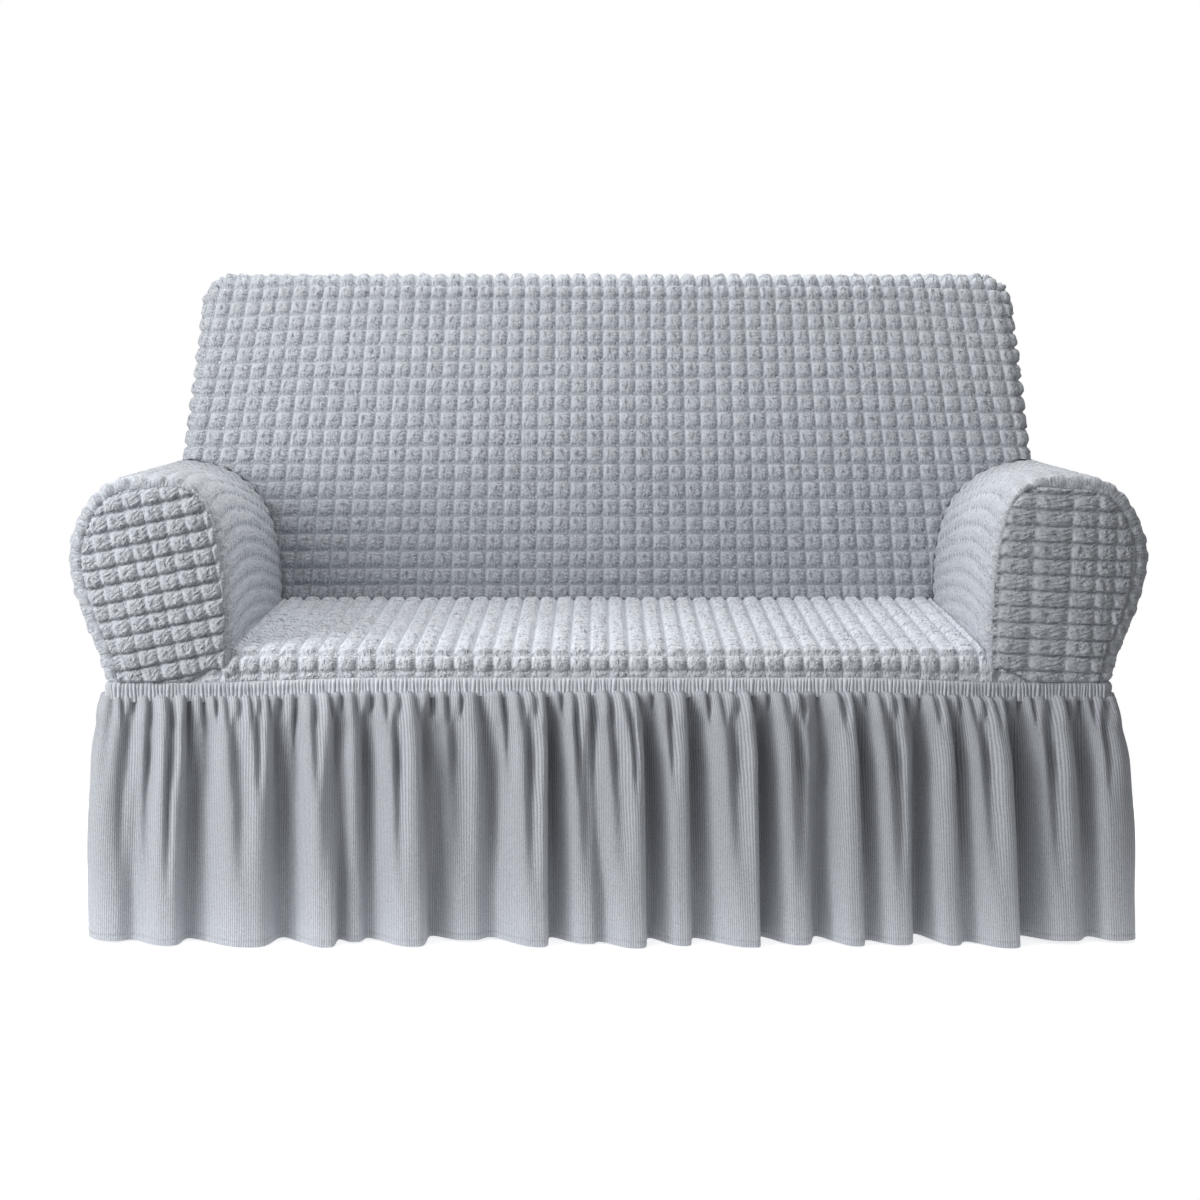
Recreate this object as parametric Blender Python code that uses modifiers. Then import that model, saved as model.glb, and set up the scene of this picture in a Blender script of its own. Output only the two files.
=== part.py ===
"""Fitted slipcover of a two-seat sofa, as its maker cuts and sews it.

Metres, +Z up, the front faces -Y. The origin is on the floor under the cover's middle. Every
piece is a sheet: a grid whose points are placed by a function of two parameters, thickened
inwards. Neighbouring pieces meet edge to edge at their seams, SEAM apart.
"""

from collections import namedtuple
import math

import bmesh
import bpy
import numpy as np

# Cloth
SEAM = 0.0003            # gap between neighbouring pieces
BUBBLE_THICKNESS = 0.0025
KNIT_THICKNESS = 0.002

# Base, seen from above: the line on which the heading sits
BASE_HALF_WIDTH = 0.7105
FRONT_Y = -0.426
REAR_Y = 0.425
FRONT_CORNER = 0.018     # radius of the cover's front corners
REAR_CORNER = 0.020      # radius of its rear corners

# Heading and skirt
HEADING_TOP = 0.3665     # at the arms and round the sides
HEADING_HEIGHT = 0.0205
HEADING_LIFT = 0.0065    # how much higher it sits under the seat
HEADING_RECESS = 0.005   # how much further back it sits under the seat
LIFT_FROM = 0.5335       # the heading starts to rise here, beside the arms
LIFT_TO = 0.360          # and is at its full height here
SKIRT_SPREAD = 0.016     # how far the front and back widths spread sideways at the hem

# Seat
SEAT_HALF_WIDTH_FRONT = 0.534
SEAT_HALF_WIDTH_REAR = 0.530
SEAT_FRONT_Y = -0.420
SEAT_FRONT_TOP = 0.415
SEAT_REAR_TOP = 0.425
SEAT_EDGE = 0.030        # radius of the seat's front edge
TUCK_BOTTOM = 0.3700     # where the arms' and the back's edges end, tucked down past the seat

# Back
BACK_TOP = 0.946
BACK_SHOULDER_Z = 0.645  # where the back rises from the arms
BACK_SHOULDER_HALF_WIDTH = 0.6997
BACK_TAPER = 0.10        # half-width lost for each metre of height
BACK_CORNER = 0.052      # radius of the top corners, seen from the front
BACK_ROUND = 0.028       # radius of the edge between the back's face and its sides and top
BACK_FOOT_Y = 0.145      # the inner face at the seat
BACK_FOOT_Z = 0.420
BACK_RECLINE = 0.28      # how far it leans back for each metre of height

# Arms
ARM_REAR_SECTION_Y = 0.17
ARM_TUCK = 0.008         # how far the arm's cloth runs on behind the back's face
SHOULDER_TUCK = 0.032    # and where it runs on under the back's side
CURL_INNER = 0.008       # radius of the arm's front edge, on the seat's side
CURL_OUTER = 0.018       # and over the roll and down the outer side
FACING_CROWN = 0.007
FACING_MIDDLE = 0.616    # the line that the facing's rows close on
FACING_MIDDLE_TOP = 0.560
FACING_MIDDLE_STEPS = 9  # columns on each side that end on that line

ArmStation = namedtuple("ArmStation", "across_front up_front across_rear up_rear")
# The right arm's section, from the tuck beside the seat, over the roll, down to the heading
ARM_SECTION = [
    ArmStation(SEAT_HALF_WIDTH_FRONT, TUCK_BOTTOM, SEAT_HALF_WIDTH_REAR, TUCK_BOTTOM),
    ArmStation(SEAT_HALF_WIDTH_FRONT, 0.4400, SEAT_HALF_WIDTH_REAR, 0.4400),
    ArmStation(0.5380, 0.5200, 0.5370, 0.5050),
    ArmStation(0.5470, 0.5850, 0.5530, 0.5630),
    ArmStation(0.5660, 0.6320, 0.5850, 0.6060),
    ArmStation(0.6000, 0.6560, 0.6250, 0.6320),
    ArmStation(0.6450, 0.6600, 0.6630, 0.6420),
    ArmStation(0.6900, 0.6550, 0.7000, 0.6450),
    ArmStation(0.7240, 0.6320, 0.7290, 0.6280),
    ArmStation(0.7475, 0.5920, 0.7490, 0.5880),
    ArmStation(0.7585, 0.5400, 0.7585, 0.5380),
    ArmStation(0.7430, 0.4680, 0.7430, 0.4680),
    ArmStation(0.7180, 0.4040, 0.7180, 0.4040),
    ArmStation(BASE_HALF_WIDTH, HEADING_TOP + SEAM, BASE_HALF_WIDTH, HEADING_TOP + SEAM),
]
SHOULDER_STATION = 7     # the station under the back's side
ARM_STEPS = 2            # steps between two stations

Fold = namedtuple("Fold", "across out lift")
# The front width's folds at the hem, from left to right: the place along the heading, how far
# it stands out of the flared skirt, and how high its hem hangs
FRONT_FOLDS = [
    Fold(-0.699, 0.004, 0.006),
    Fold(-0.666, -0.010, 0.004),
    Fold(-0.623, 0.022, 0.002),
    Fold(-0.585, -0.020, 0.003),
    Fold(-0.511, 0.026, 0.000),
    Fold(-0.452, -0.024, 0.004),
    Fold(-0.405, 0.028, 0.001),
    Fold(-0.377, -0.012, 0.004),
    Fold(-0.361, 0.004, 0.004),
    Fold(-0.337, -0.018, 0.005),
    Fold(-0.285, 0.026, 0.002),
    Fold(-0.245, -0.028, 0.006),
    Fold(-0.202, 0.000, 0.007),
    Fold(-0.167, -0.018, 0.007),
    Fold(-0.112, 0.026, 0.001),
    Fold(-0.081, -0.024, 0.004),
    Fold(-0.042, 0.018, 0.006),
    Fold(-0.024, 0.002, 0.004),
    Fold(0.020, 0.031, 0.000),
    Fold(0.055, -0.022, 0.003),
    Fold(0.089, 0.018, 0.000),
    Fold(0.116, -0.020, 0.004),
    Fold(0.182, 0.028, 0.001),
    Fold(0.209, -0.028, 0.005),
    Fold(0.249, 0.018, 0.002),
    Fold(0.288, -0.026, 0.006),
    Fold(0.323, 0.026, 0.003),
    Fold(0.351, -0.008, 0.004),
    Fold(0.388, 0.022, 0.004),
    Fold(0.427, -0.030, 0.010),
    Fold(0.456, 0.020, 0.002),
    Fold(0.485, -0.004, 0.002),
    Fold(0.533, 0.031, 0.000),
    Fold(0.571, -0.030, 0.006),
    Fold(0.620, 0.012, 0.009),
    Fold(0.663, -0.018, 0.008),
    Fold(0.690, 0.006, 0.007),
]
HEM_CLEARANCE = 0.001
END_STEP = 0.0006        # share of a width's length in its first and last column
FOLD_STEPS = 3           # steps between a fold's ridge and its valley
SKIRT_ROWS = (0.0, 0.07, 0.2, 0.42, 0.7, 1.0)

Width = namedtuple("Width", "flare_end flare_middle fold seed count")
FRONT_WIDTH = Width(0.026, 0.028, 1.0, None, None)
BACK_WIDTH = Width(0.026, 0.028, 0.85, 5, 15)
SIDE_WIDTHS = {"left": Width(0.026, 0.016, 0.4, 11, 9), "right": Width(0.026, 0.016, 0.4, 23, 9)}

BUBBLE_FINISH = ("bubble_cloth", (0.46, 0.50, 0.56, 1.0), 0.9)
HEADING_FINISH = ("heading_elastic", (0.47, 0.51, 0.56, 1.0), 0.85)
SKIRT_FINISH = ("skirt_knit", (0.41, 0.44, 0.48, 1.0), 0.9)


# ---- helpers -------------------------------------------------------------------------------

def blend(low, high, share):
    """Value that runs from low to high as share runs from 0 to 1."""
    return low + (high - low) * share


def smooth(share):
    """Share eased at both ends."""
    share = np.clip(share, 0.0, 1.0)
    return share * share * (3.0 - 2.0 * share)


def spread(stops, steps):
    """Stops with each stretch between two of them cut into equal steps."""
    stretches = [np.linspace(a, b, steps, endpoint=False) for a, b in zip(stops[:-1], stops[1:])]
    return np.concatenate(stretches + [np.array([stops[-1]])])


def through(points, steps):
    """Smooth curve through points (Catmull-Rom), with equal steps between two of them."""
    points = np.asarray(points, float)
    padded = np.vstack([2 * points[0] - points[1], points, 2 * points[-1] - points[-2]])
    curve = []
    for before, start, end, after in zip(padded[:-3], padded[1:-2], padded[2:-1], padded[3:]):
        for share in np.arange(steps) / steps:
            curve.append(0.5 * (2 * start + (end - before) * share
                                + (2 * before - 5 * start + 4 * end - after) * share ** 2
                                + (3 * start - before - 3 * end + after) * share ** 3))
    curve.append(points[-1])
    return np.array(curve)


def finish_material(finish):
    """The cloth's material: its name, colour and roughness."""
    name, colour, roughness = finish
    material = bpy.data.materials.get(name)
    if material is None:
        material = bpy.data.materials.new(name)
        material.use_nodes = True
        shader = material.node_tree.nodes["Principled BSDF"]
        shader.inputs["Base Color"].default_value = colour
        shader.inputs["Roughness"].default_value = roughness
        shader.inputs["Metallic"].default_value = 0.0
    return material


def sheet(name, columns, rows, place, finish, thickness, keep=None, flip=False, weld=False):
    """Sheet of cloth on a grid of columns and rows.

    place turns the grid's parameters into points of the outer surface; keep, where given, says
    which cells (by column and row number) are cloth; flip turns the outside round; weld joins
    points that place has brought together.
    """
    across, up = len(columns) - 1, len(rows) - 1
    cloth = bmesh.new()
    bmesh.ops.create_grid(cloth, x_segments=across, y_segments=up, size=0.5)
    for vertex in cloth.verts:
        column = round((vertex.co.x + 0.5) * across)
        row = round((vertex.co.y + 0.5) * up)
        vertex.index = row * (across + 1) + column
    cloth.verts.sort()
    if keep is not None:
        surplus = []
        for face in cloth.faces:
            column = min(vertex.index % (across + 1) for vertex in face.verts)
            row = min(vertex.index // (across + 1) for vertex in face.verts)
            if not keep(column, row):
                surplus.append(face)
    grid_u, grid_v = np.meshgrid(columns, rows)
    points = np.stack(np.broadcast_arrays(*place(grid_u, grid_v)), axis=-1).reshape(-1, 3)
    for vertex, point in zip(cloth.verts, points):
        vertex.co = point
    if keep is not None:
        bmesh.ops.delete(cloth, geom=surplus, context="FACES")
    if weld:
        bmesh.ops.remove_doubles(cloth, verts=cloth.verts[:], dist=1e-5)
    if flip:
        bmesh.ops.reverse_faces(cloth, faces=cloth.faces[:])
    mesh = bpy.data.meshes.new(name)
    cloth.to_mesh(mesh)
    cloth.free()
    mesh.shade_smooth()
    mesh.materials.append(finish_material(finish))
    piece = bpy.data.objects.new(name, mesh)
    collection.objects.link(piece)
    shell = piece.modifiers.new("thickness", "SOLIDIFY")
    shell.thickness = thickness
    shell.offset = -1.0
    return piece


# ---- shared surfaces -----------------------------------------------------------------------

def inner_face_y(z):
    """The back's inner face, leaning back."""
    return BACK_FOOT_Y + BACK_RECLINE * (z - BACK_FOOT_Z)


def seat_half_width(y):
    """Distance from the middle to an arm's inner face, at the seat."""
    share = (y - FRONT_Y) / (ARM_REAR_SECTION_Y - FRONT_Y)
    return blend(SEAT_HALF_WIDTH_FRONT, SEAT_HALF_WIDTH_REAR, np.clip(share, 0.0, 1.0))


def under_seat(across):
    """1 under the seat, 0 at the arms."""
    return np.clip((LIFT_FROM - np.abs(across)) / (LIFT_FROM - LIFT_TO), 0.0, 1.0)


ARM_FRONT = through([(s.across_front, s.up_front) for s in ARM_SECTION], ARM_STEPS)
ARM_REAR = through([(s.across_rear, s.up_rear) for s in ARM_SECTION], ARM_STEPS)
SHOULDER = SHOULDER_STATION * ARM_STEPS


def arm_point(station, y):
    """The arm's section at station numbers and depths: across, up."""
    numbers = np.arange(len(ARM_FRONT))
    share = np.clip((y - FRONT_Y) / (ARM_REAR_SECTION_Y - FRONT_Y), 0.0, 1.0)
    across = blend(np.interp(station, numbers, ARM_FRONT[:, 0]),
                   np.interp(station, numbers, ARM_REAR[:, 0]), share)
    up = blend(np.interp(station, numbers, ARM_FRONT[:, 1]),
               np.interp(station, numbers, ARM_REAR[:, 1]), share)
    return across, up


def inward(section):
    """Unit normals of an arm section, pointing into the arm: across, up."""
    along = np.gradient(section, axis=0)
    along /= np.linalg.norm(along, axis=1, keepdims=True)
    return np.stack([along[:, 1], -along[:, 0]], axis=-1)


def arm_inward(station):
    """The same for the front section at station numbers: across, up."""
    numbers = np.arange(len(ARM_FRONT))
    normals = inward(ARM_FRONT)
    return np.interp(station, numbers, normals[:, 0]), np.interp(station, numbers, normals[:, 1])


def curl_radius(station):
    """Radius of the arm's front edge at a station."""
    share = station / (len(ARM_FRONT) - 1)
    return blend(CURL_INNER, CURL_OUTER, smooth((share - 0.18) / 0.22))


# The back's outline, seen from the front, has straight tapering sides and round top corners
CORNER_Z = BACK_TOP - BACK_CORNER
CORNER_EDGE = BACK_SHOULDER_HALF_WIDTH - BACK_TAPER * (CORNER_Z - BACK_SHOULDER_Z)
CORNER_X = CORNER_EDGE - BACK_CORNER
DIAGONAL = BACK_CORNER * math.sqrt(0.5)
CORNER_SEAM_X = CORNER_X + DIAGONAL      # the corner's middle, where three pieces meet
CORNER_SEAM_Z = CORNER_Z + DIAGONAL


def back_half_width(z):
    """The back's half-width above the arms, round corner included."""
    straight = BACK_SHOULDER_HALF_WIDTH - BACK_TAPER * (z - BACK_SHOULDER_Z)
    rise = np.clip(z - CORNER_Z, 0.0, BACK_CORNER)
    return np.where(z > CORNER_Z, CORNER_X + np.sqrt(BACK_CORNER ** 2 - rise ** 2), straight)


def back_top_at(across):
    """Height of the back's top edge, round corners included."""
    run = np.clip(np.abs(across) - CORNER_X, 0.0, BACK_CORNER)
    return CORNER_Z + np.sqrt(BACK_CORNER ** 2 - run ** 2)


def inside_outline(across, up):
    """Distance in from the back's outline above the arms."""
    beside = back_half_width(np.minimum(up, CORNER_Z)) - np.abs(across)
    in_corner = (np.abs(across) > CORNER_X) & (up > CORNER_Z)
    reach = BACK_CORNER - np.hypot(np.abs(across) - CORNER_X, up - CORNER_Z)
    return np.maximum(np.where(in_corner, reach, np.minimum(beside, BACK_TOP - up)), 0.0)


def rounding(distance, radius):
    """How far a face has turned back, at a distance in from its edge."""
    left = np.clip(radius - distance, 0.0, radius)
    return radius - np.sqrt(radius ** 2 - left ** 2)


def crowned_height(across, nominal):
    """Height of a row of the back that starts at a nominal height at its ends."""
    share = np.clip((nominal - BACK_SHOULDER_Z) / (CORNER_SEAM_Z - BACK_SHOULDER_Z), 0.0, 1.0)
    return nominal + (back_top_at(across) - CORNER_SEAM_Z) * share ** 2


# ---- back ----------------------------------------------------------------------------------

EDGE_TURNS = np.radians([0.0, 32.0, 62.0, 86.0, 90.0])
EDGE_INSETS = BACK_ROUND * (1.0 - np.sin(EDGE_TURNS))
EDGE_COLUMNS = 1.0 - EDGE_INSETS / BACK_SHOULDER_HALF_WIDTH
BACK_COLUMNS = np.concatenate([-EDGE_COLUMNS[::-1], np.linspace(-0.84, 0.84, 8), EDGE_COLUMNS])
# Rows of the back's face above the arms, the last ones round its top edge
FACE_ROWS = np.concatenate([(0.70, 0.78, 0.85), CORNER_SEAM_Z - EDGE_INSETS[:-1] / 1.12])
TOP_ROWS = (1.35, 1.7, 2.0)


def make_inside_back():
    """Inner face of the back between the arms and above them, and the strip over its top."""
    normals = inward(ARM_REAR)[:SHOULDER]
    lean = BACK_RECLINE * BUBBLE_THICKNESS * np.abs(normals[:, 1:])
    beside_arm = ARM_REAR[:SHOULDER] - normals * (2 * SEAM + lean)
    shoulder_z = BACK_SHOULDER_Z + 2 * SEAM + BACK_RECLINE * BUBBLE_THICKNESS
    heights = np.concatenate([beside_arm[:, 1], [shoulder_z], FACE_ROWS, [CORNER_SEAM_Z]])
    halves = np.concatenate([beside_arm[:, 0], back_half_width(heights[len(beside_arm):])])
    rows = np.concatenate([np.linspace(0.0, 1.0, len(heights)), TOP_ROWS])

    def place(u, v):
        row = np.clip(v, 0.0, 1.0)
        stops = np.linspace(0.0, 1.0, len(heights))
        nominal = np.interp(row, stops, heights)
        across = u * np.interp(row, stops, halves)
        up = crowned_height(across, nominal)
        turned = rounding(inside_outline(across, up), BACK_ROUND)
        turned = np.where(nominal >= shoulder_z, turned, 0.0)
        over = np.clip(v - 1.0, 0.0, 1.0)
        edge = inner_face_y(up) + turned
        depth = blend(edge, REAR_Y - REAR_CORNER - SEAM, over)
        return across, np.where(v > 1.0, depth, edge), up

    return sheet("inside_back", BACK_COLUMNS, rows, place, BUBBLE_FINISH, BUBBLE_THICKNESS)


def make_outside_back():
    """Rear of the back and arms in one width, wrapped round the back's sides."""
    beside_arm = ARM_REAR[:SHOULDER:-1]
    heights = np.concatenate([beside_arm[:, 1], [BACK_SHOULDER_Z + 2 * SEAM], FACE_ROWS,
                              [CORNER_SEAM_Z]])
    halves = np.concatenate([beside_arm[:, 0], back_half_width(heights[len(beside_arm):])])
    wing_steps = 4
    first_wing_row = len(beside_arm)
    face_columns = len(BACK_COLUMNS) - 1
    columns = np.concatenate([np.linspace(-2.0, -1.0, wing_steps, endpoint=False), BACK_COLUMNS,
                              np.linspace(2.0, 1.0, wing_steps, endpoint=False)[::-1]])
    rows = np.arange(len(heights), dtype=float)

    def place(u, v):
        nominal = np.interp(v, rows, heights)
        nominal = np.where(np.abs(u) >= 1.0, np.minimum(nominal, CORNER_SEAM_Z - SEAM), nominal)
        half = np.where(v >= first_wing_row, back_half_width(nominal), np.interp(v, rows, halves))
        across = np.clip(u, -1.0, 1.0) * half
        up = crowned_height(across, nominal)
        below = nominal < BACK_SHOULDER_Z
        inset = np.where(below, half - np.abs(across), inside_outline(across, up))
        rear = REAR_Y - rounding(inset, REAR_CORNER)
        wing = np.clip(np.abs(u) - 1.0, 0.0, 1.0)
        front = inner_face_y(up) + BACK_ROUND + SEAM
        return across, np.where(wing > 0.0, blend(rear, front, wing), rear), up

    def keep(column, row):
        in_face = wing_steps <= column < wing_steps + face_columns
        return in_face or row >= first_wing_row

    return sheet("outside_back", columns, rows, place, BUBBLE_FINISH, BUBBLE_THICKNESS,
                 keep=keep, flip=True)


# ---- seat ----------------------------------------------------------------------------------

def make_seat():
    """Seat's top from the back's foot to its front edge, and the drop to the heading."""
    knot = LIFT_TO / LIFT_FROM
    half_columns = np.array([0.25, 0.5, knot, 0.9, 1.0])
    columns = np.concatenate([-half_columns[::-1], [0.0], half_columns])
    rows = np.concatenate([[-1.0, -0.97], np.linspace(-0.9, 0.0, 5), np.linspace(0.2, 1.0, 5)])
    rear_y = inner_face_y(SEAT_REAR_TOP) - SEAM - BACK_RECLINE * BUBBLE_THICKNESS
    edge_y = SEAT_FRONT_Y + SEAT_EDGE

    def place(u, v):
        top_y = blend(edge_y, rear_y, np.clip(v, 0.0, 1.0))
        top_z = blend(SEAT_FRONT_TOP, SEAT_REAR_TOP, np.clip(v, 0.0, 1.0))
        turn = np.clip(-v / 0.9, 0.0, 1.0) * math.pi / 2
        round_y = edge_y - SEAT_EDGE * np.sin(turn)
        round_z = SEAT_FRONT_TOP - SEAT_EDGE * (1.0 - np.cos(turn))
        y = np.where(v >= 0.0, top_y, round_y)
        z = np.where(v >= 0.0, top_z, round_z)
        last = v < -0.95
        drop = np.where(v > -0.99, 2 * KNIT_THICKNESS, 0.0)
        across = u * (seat_half_width(np.where(last, FRONT_Y, y)) - SEAM - 0.0002)
        lifted = under_seat(across)
        y = np.where(last, FRONT_Y + HEADING_RECESS * lifted, y)
        z = np.where(last, HEADING_TOP + HEADING_LIFT * lifted + SEAM + drop, z)
        return across, y, z

    return sheet("seat", columns, rows, place, BUBBLE_FINISH, BUBBLE_THICKNESS)


# ---- arms ----------------------------------------------------------------------------------

def make_arm_wrap(side, sign):
    """Cloth over an arm: inner face, roll and outer side, its front edge curled round."""
    columns = np.arange(len(ARM_FRONT), dtype=float)
    curl_rows = np.array([0.0, 0.06, 0.38, 0.7, 1.0])
    rows = np.concatenate([curl_rows, (1.25, 1.5, 1.75, 2.0), (2.5, 3.0)])
    first_rear_row = len(curl_rows) + 3

    def place(u, v):
        radius = curl_radius(u)
        turn = np.clip(v, 0.0, 1.0) * math.pi / 2
        curl_y = FRONT_Y + radius * (1.0 - np.cos(turn))
        inset = radius * (1.0 - np.sin(turn))
        tuck = blend(ARM_TUCK, SHOULDER_TUCK, smooth((u - SHOULDER + 4.0) / 3.0))
        behind_face = inner_face_y(arm_point(u, ARM_REAR_SECTION_Y)[1]) + tuck
        start = FRONT_Y + radius
        beside_seat = blend(start, behind_face, np.clip(v - 1.0, 0.0, 1.0))
        y = np.where(v <= 1.0, curl_y, beside_seat)
        rear_y = REAR_Y - REAR_CORNER - SEAM
        y = np.where(v > 2.0, blend(behind_face, rear_y, np.clip(v - 2.0, 0.0, 1.0)), y)
        across, up = arm_point(u, y)
        inward_across, inward_up = arm_inward(u)
        inward_up = np.where((u < 1.0) | (u > len(ARM_FRONT) - 2.0), 0.0, inward_up)
        return sign * (across + inset * inward_across), y, up + inset * inward_up

    def keep(column, row):
        return row < first_rear_row or column >= SHOULDER

    return sheet(f"arm_wrap_{side}", columns, rows, place, BUBBLE_FINISH, BUBBLE_THICKNESS,
                 keep=keep, flip=sign < 0)


def make_arm_front(side, sign):
    """Facing let into an arm's front, a little crowned."""
    columns = np.arange(len(ARM_FRONT), dtype=float)
    rows = np.array([0.0, 0.3, 0.65, 1.0])
    bottom = HEADING_TOP + SEAM

    def place(u, v):
        across, up = arm_point(u, FRONT_Y)
        inward_across, inward_up = arm_inward(u)
        at_end = (u < 1.0) | (u > len(ARM_FRONT) - 2.0)
        inward_up = np.where(at_end, 0.0, inward_up)
        inset = curl_radius(u) + 1.5 * SEAM
        edge_across = across + inset * inward_across
        edge_up = np.maximum(up + inset * inward_up, bottom)
        edge_up = np.where(u < 1.0, bottom, edge_up)
        middle = (len(ARM_FRONT) - 1) / 2
        from_foot = np.clip((middle - np.abs(u - middle)) / FACING_MIDDLE_STEPS, 0.0, 1.0)
        middle_up = blend(bottom, FACING_MIDDLE_TOP, from_foot)
        shown = blend(edge_across, FACING_MIDDLE, v)
        crown = FACING_CROWN * np.sin(v * math.pi / 2) * smooth(2.0 * from_foot)
        return sign * shown, FRONT_Y - crown, blend(edge_up, middle_up, v)

    return sheet(f"arm_front_{side}", columns, rows, place, BUBBLE_FINISH, BUBBLE_THICKNESS,
                 flip=sign > 0, weld=True)


# ---- heading and skirt ---------------------------------------------------------------------

def end_line(along, corner, end_y):
    """Line of the front or back width: a straight stretch and a quarter round at each end.

    Returns the point (x, y), the outward normal (x, y) and the share of the side corner.
    """
    half = BASE_HALF_WIDTH - corner
    turn = np.clip((np.abs(along) - half) / corner, 0.0, math.pi / 2)
    facing = math.copysign(1.0, end_y)
    x = np.clip(along, -half, half) + np.sign(along) * corner * np.sin(turn)
    y = end_y - facing * corner * (1.0 - np.cos(turn))
    return x, y, np.sign(along) * np.sin(turn), facing * np.cos(turn)


def end_reach(corner):
    """Half the length of a front or back width, corners included."""
    return BASE_HALF_WIDTH - corner + corner * math.pi / 2


def heading_levels(along, front):
    """Top and bottom edge of the heading."""
    lift = HEADING_LIFT * under_seat(along) if front else 0.0 * along
    top = HEADING_TOP + lift
    return top, top - HEADING_HEIGHT


def heading_columns(corner, front):
    """Column places of a front or back heading."""
    half = BASE_HALF_WIDTH - corner
    knots = [LIFT_TO, LIFT_FROM] if front else []
    right = np.concatenate([[0.2], knots, [half], half + corner * np.radians([30.0, 60.0, 87.0, 90.0])])
    return np.concatenate([-right[::-1], [0.0], right])


def make_end_heading(name, corner, end_y):
    """Front or back heading, its ends round the corners."""
    front = end_y < 0.0

    def place(u, v):
        x, y, out_x, out_y = end_line(u, corner, end_y)
        top, bottom = heading_levels(u, front)
        recess = HEADING_RECESS * under_seat(u) if front else 0.0
        return x, y - recess * out_y, blend(bottom, top, v)

    return sheet(name, heading_columns(corner, front), np.array([0.0, 1.0]), place,
                 HEADING_FINISH, KNIT_THICKNESS, flip=not front)


def side_line(along, sign):
    """Line of a side width, from the front corner to the rear one."""
    front_end = FRONT_Y + FRONT_CORNER + SEAM
    rear_end = REAR_Y - REAR_CORNER - SEAM
    return sign * BASE_HALF_WIDTH + 0.0 * along, blend(front_end, rear_end, along)


def make_side_heading(side, sign):
    """Heading along one side."""

    def place(u, v):
        x, y = side_line(u, sign)
        top, bottom = heading_levels(u, False)
        return x, y, blend(bottom, top, v)

    return sheet(f"heading_{side}", np.linspace(0.0, 1.0, 5), np.array([0.0, 1.0]), place,
                 HEADING_FINISH, KNIT_THICKNESS, flip=sign < 0)


def uneven_folds(width, low, high):
    """Ridges and valleys by turns between low and high, of seeded uneven widths and depths."""
    draws = np.random.default_rng(width.seed)
    steps = draws.uniform(0.6, 1.4, 2 * width.count)
    places = low + (high - low) * np.cumsum(steps)[:-1] / steps.sum()
    folds = []
    for number, across in enumerate(places):
        ridge = number % 2 == 0
        out = draws.uniform(0.014, 0.030) * (1.0 if ridge else -0.9)
        folds.append(Fold(float(across), out, 0.002 if ridge else 0.006))
    return folds


def fold_columns(folds, low, high):
    """Columns through every ridge and valley, with a short one at each end to square it."""
    columns = spread([low] + [fold.across for fold in folds] + [high], FOLD_STEPS)
    short = END_STEP * (high - low)
    return np.concatenate([[low, low + short], columns[1:-1], [high - short, high]])


def fold_at(folds, low, high, along):
    """Stand-out and lift at the hem: eased from each ridge to the next valley."""
    stops = np.array([low] + [fold.across for fold in folds] + [high])
    outs = np.array([0.0] + [fold.out for fold in folds] + [0.0])
    lifts = np.array([0.006] + [fold.lift for fold in folds] + [0.006])
    number = np.clip(np.searchsorted(stops, along, side="right") - 1, 0, len(stops) - 2)
    share = smooth((along - stops[number]) / (stops[number + 1] - stops[number]))
    return (blend(outs[number], outs[number + 1], share),
            HEM_CLEARANCE + blend(lifts[number], lifts[number + 1], share))


def hang(v):
    """How far the flare has grown, and how far the folds have, down the skirt."""
    return np.sin(math.pi / 2 * v ** 0.5), v ** 0.65


def make_end_skirt(name, corner, end_y, width, folds):
    """Front or back width of the skirt, its ends round the corners."""
    reach = end_reach(corner)
    front = end_y < 0.0

    def place(u, v):
        x, y, out_x, out_y = end_line(u, corner, end_y)
        out, lift = fold_at(folds, -reach, reach, u)
        flare_grown, fold_grown = hang(v)
        near_end = smooth((np.abs(u) - 0.5 * reach) / (0.5 * reach))
        stand = blend(width.flare_middle, width.flare_end, near_end) * flare_grown
        stand = stand + out * width.fold * fold_grown
        recess = HEADING_RECESS * under_seat(u) * (1.0 - v) if front else 0.0
        sideways = SKIRT_SPREAD * v * np.clip(u / (BASE_HALF_WIDTH - corner), -1.0, 1.0)
        sideways = sideways * np.abs(out_y)
        top = heading_levels(u, front)[1] - 2 * SEAM
        return x + (stand - recess) * out_x + sideways, y + (stand - recess) * out_y, blend(top, lift, v)

    return sheet(name, fold_columns(folds, -reach, reach), np.array(SKIRT_ROWS), place,
                 SKIRT_FINISH, KNIT_THICKNESS, flip=front)


def make_side_skirt(side, sign, width):
    """Side width of the skirt."""
    folds = uneven_folds(width, 0.0, 1.0)

    def place(u, v):
        x, y = side_line(u, sign)
        out, lift = fold_at(folds, 0.0, 1.0, u)
        flare_grown, fold_grown = hang(v)
        near_end = smooth((np.abs(2.0 * u - 1.0) - 0.4) / 0.6)
        stand = blend(width.flare_middle, width.flare_end, near_end) * flare_grown
        stand = stand + out * width.fold * fold_grown
        top = heading_levels(u, False)[1] - 2 * SEAM
        return x + sign * stand, y, blend(top, lift, v)

    return sheet(f"skirt_{side}", fold_columns(folds, 0.0, 1.0), np.array(SKIRT_ROWS), place,
                 SKIRT_FINISH, KNIT_THICKNESS, flip=sign > 0)


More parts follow.
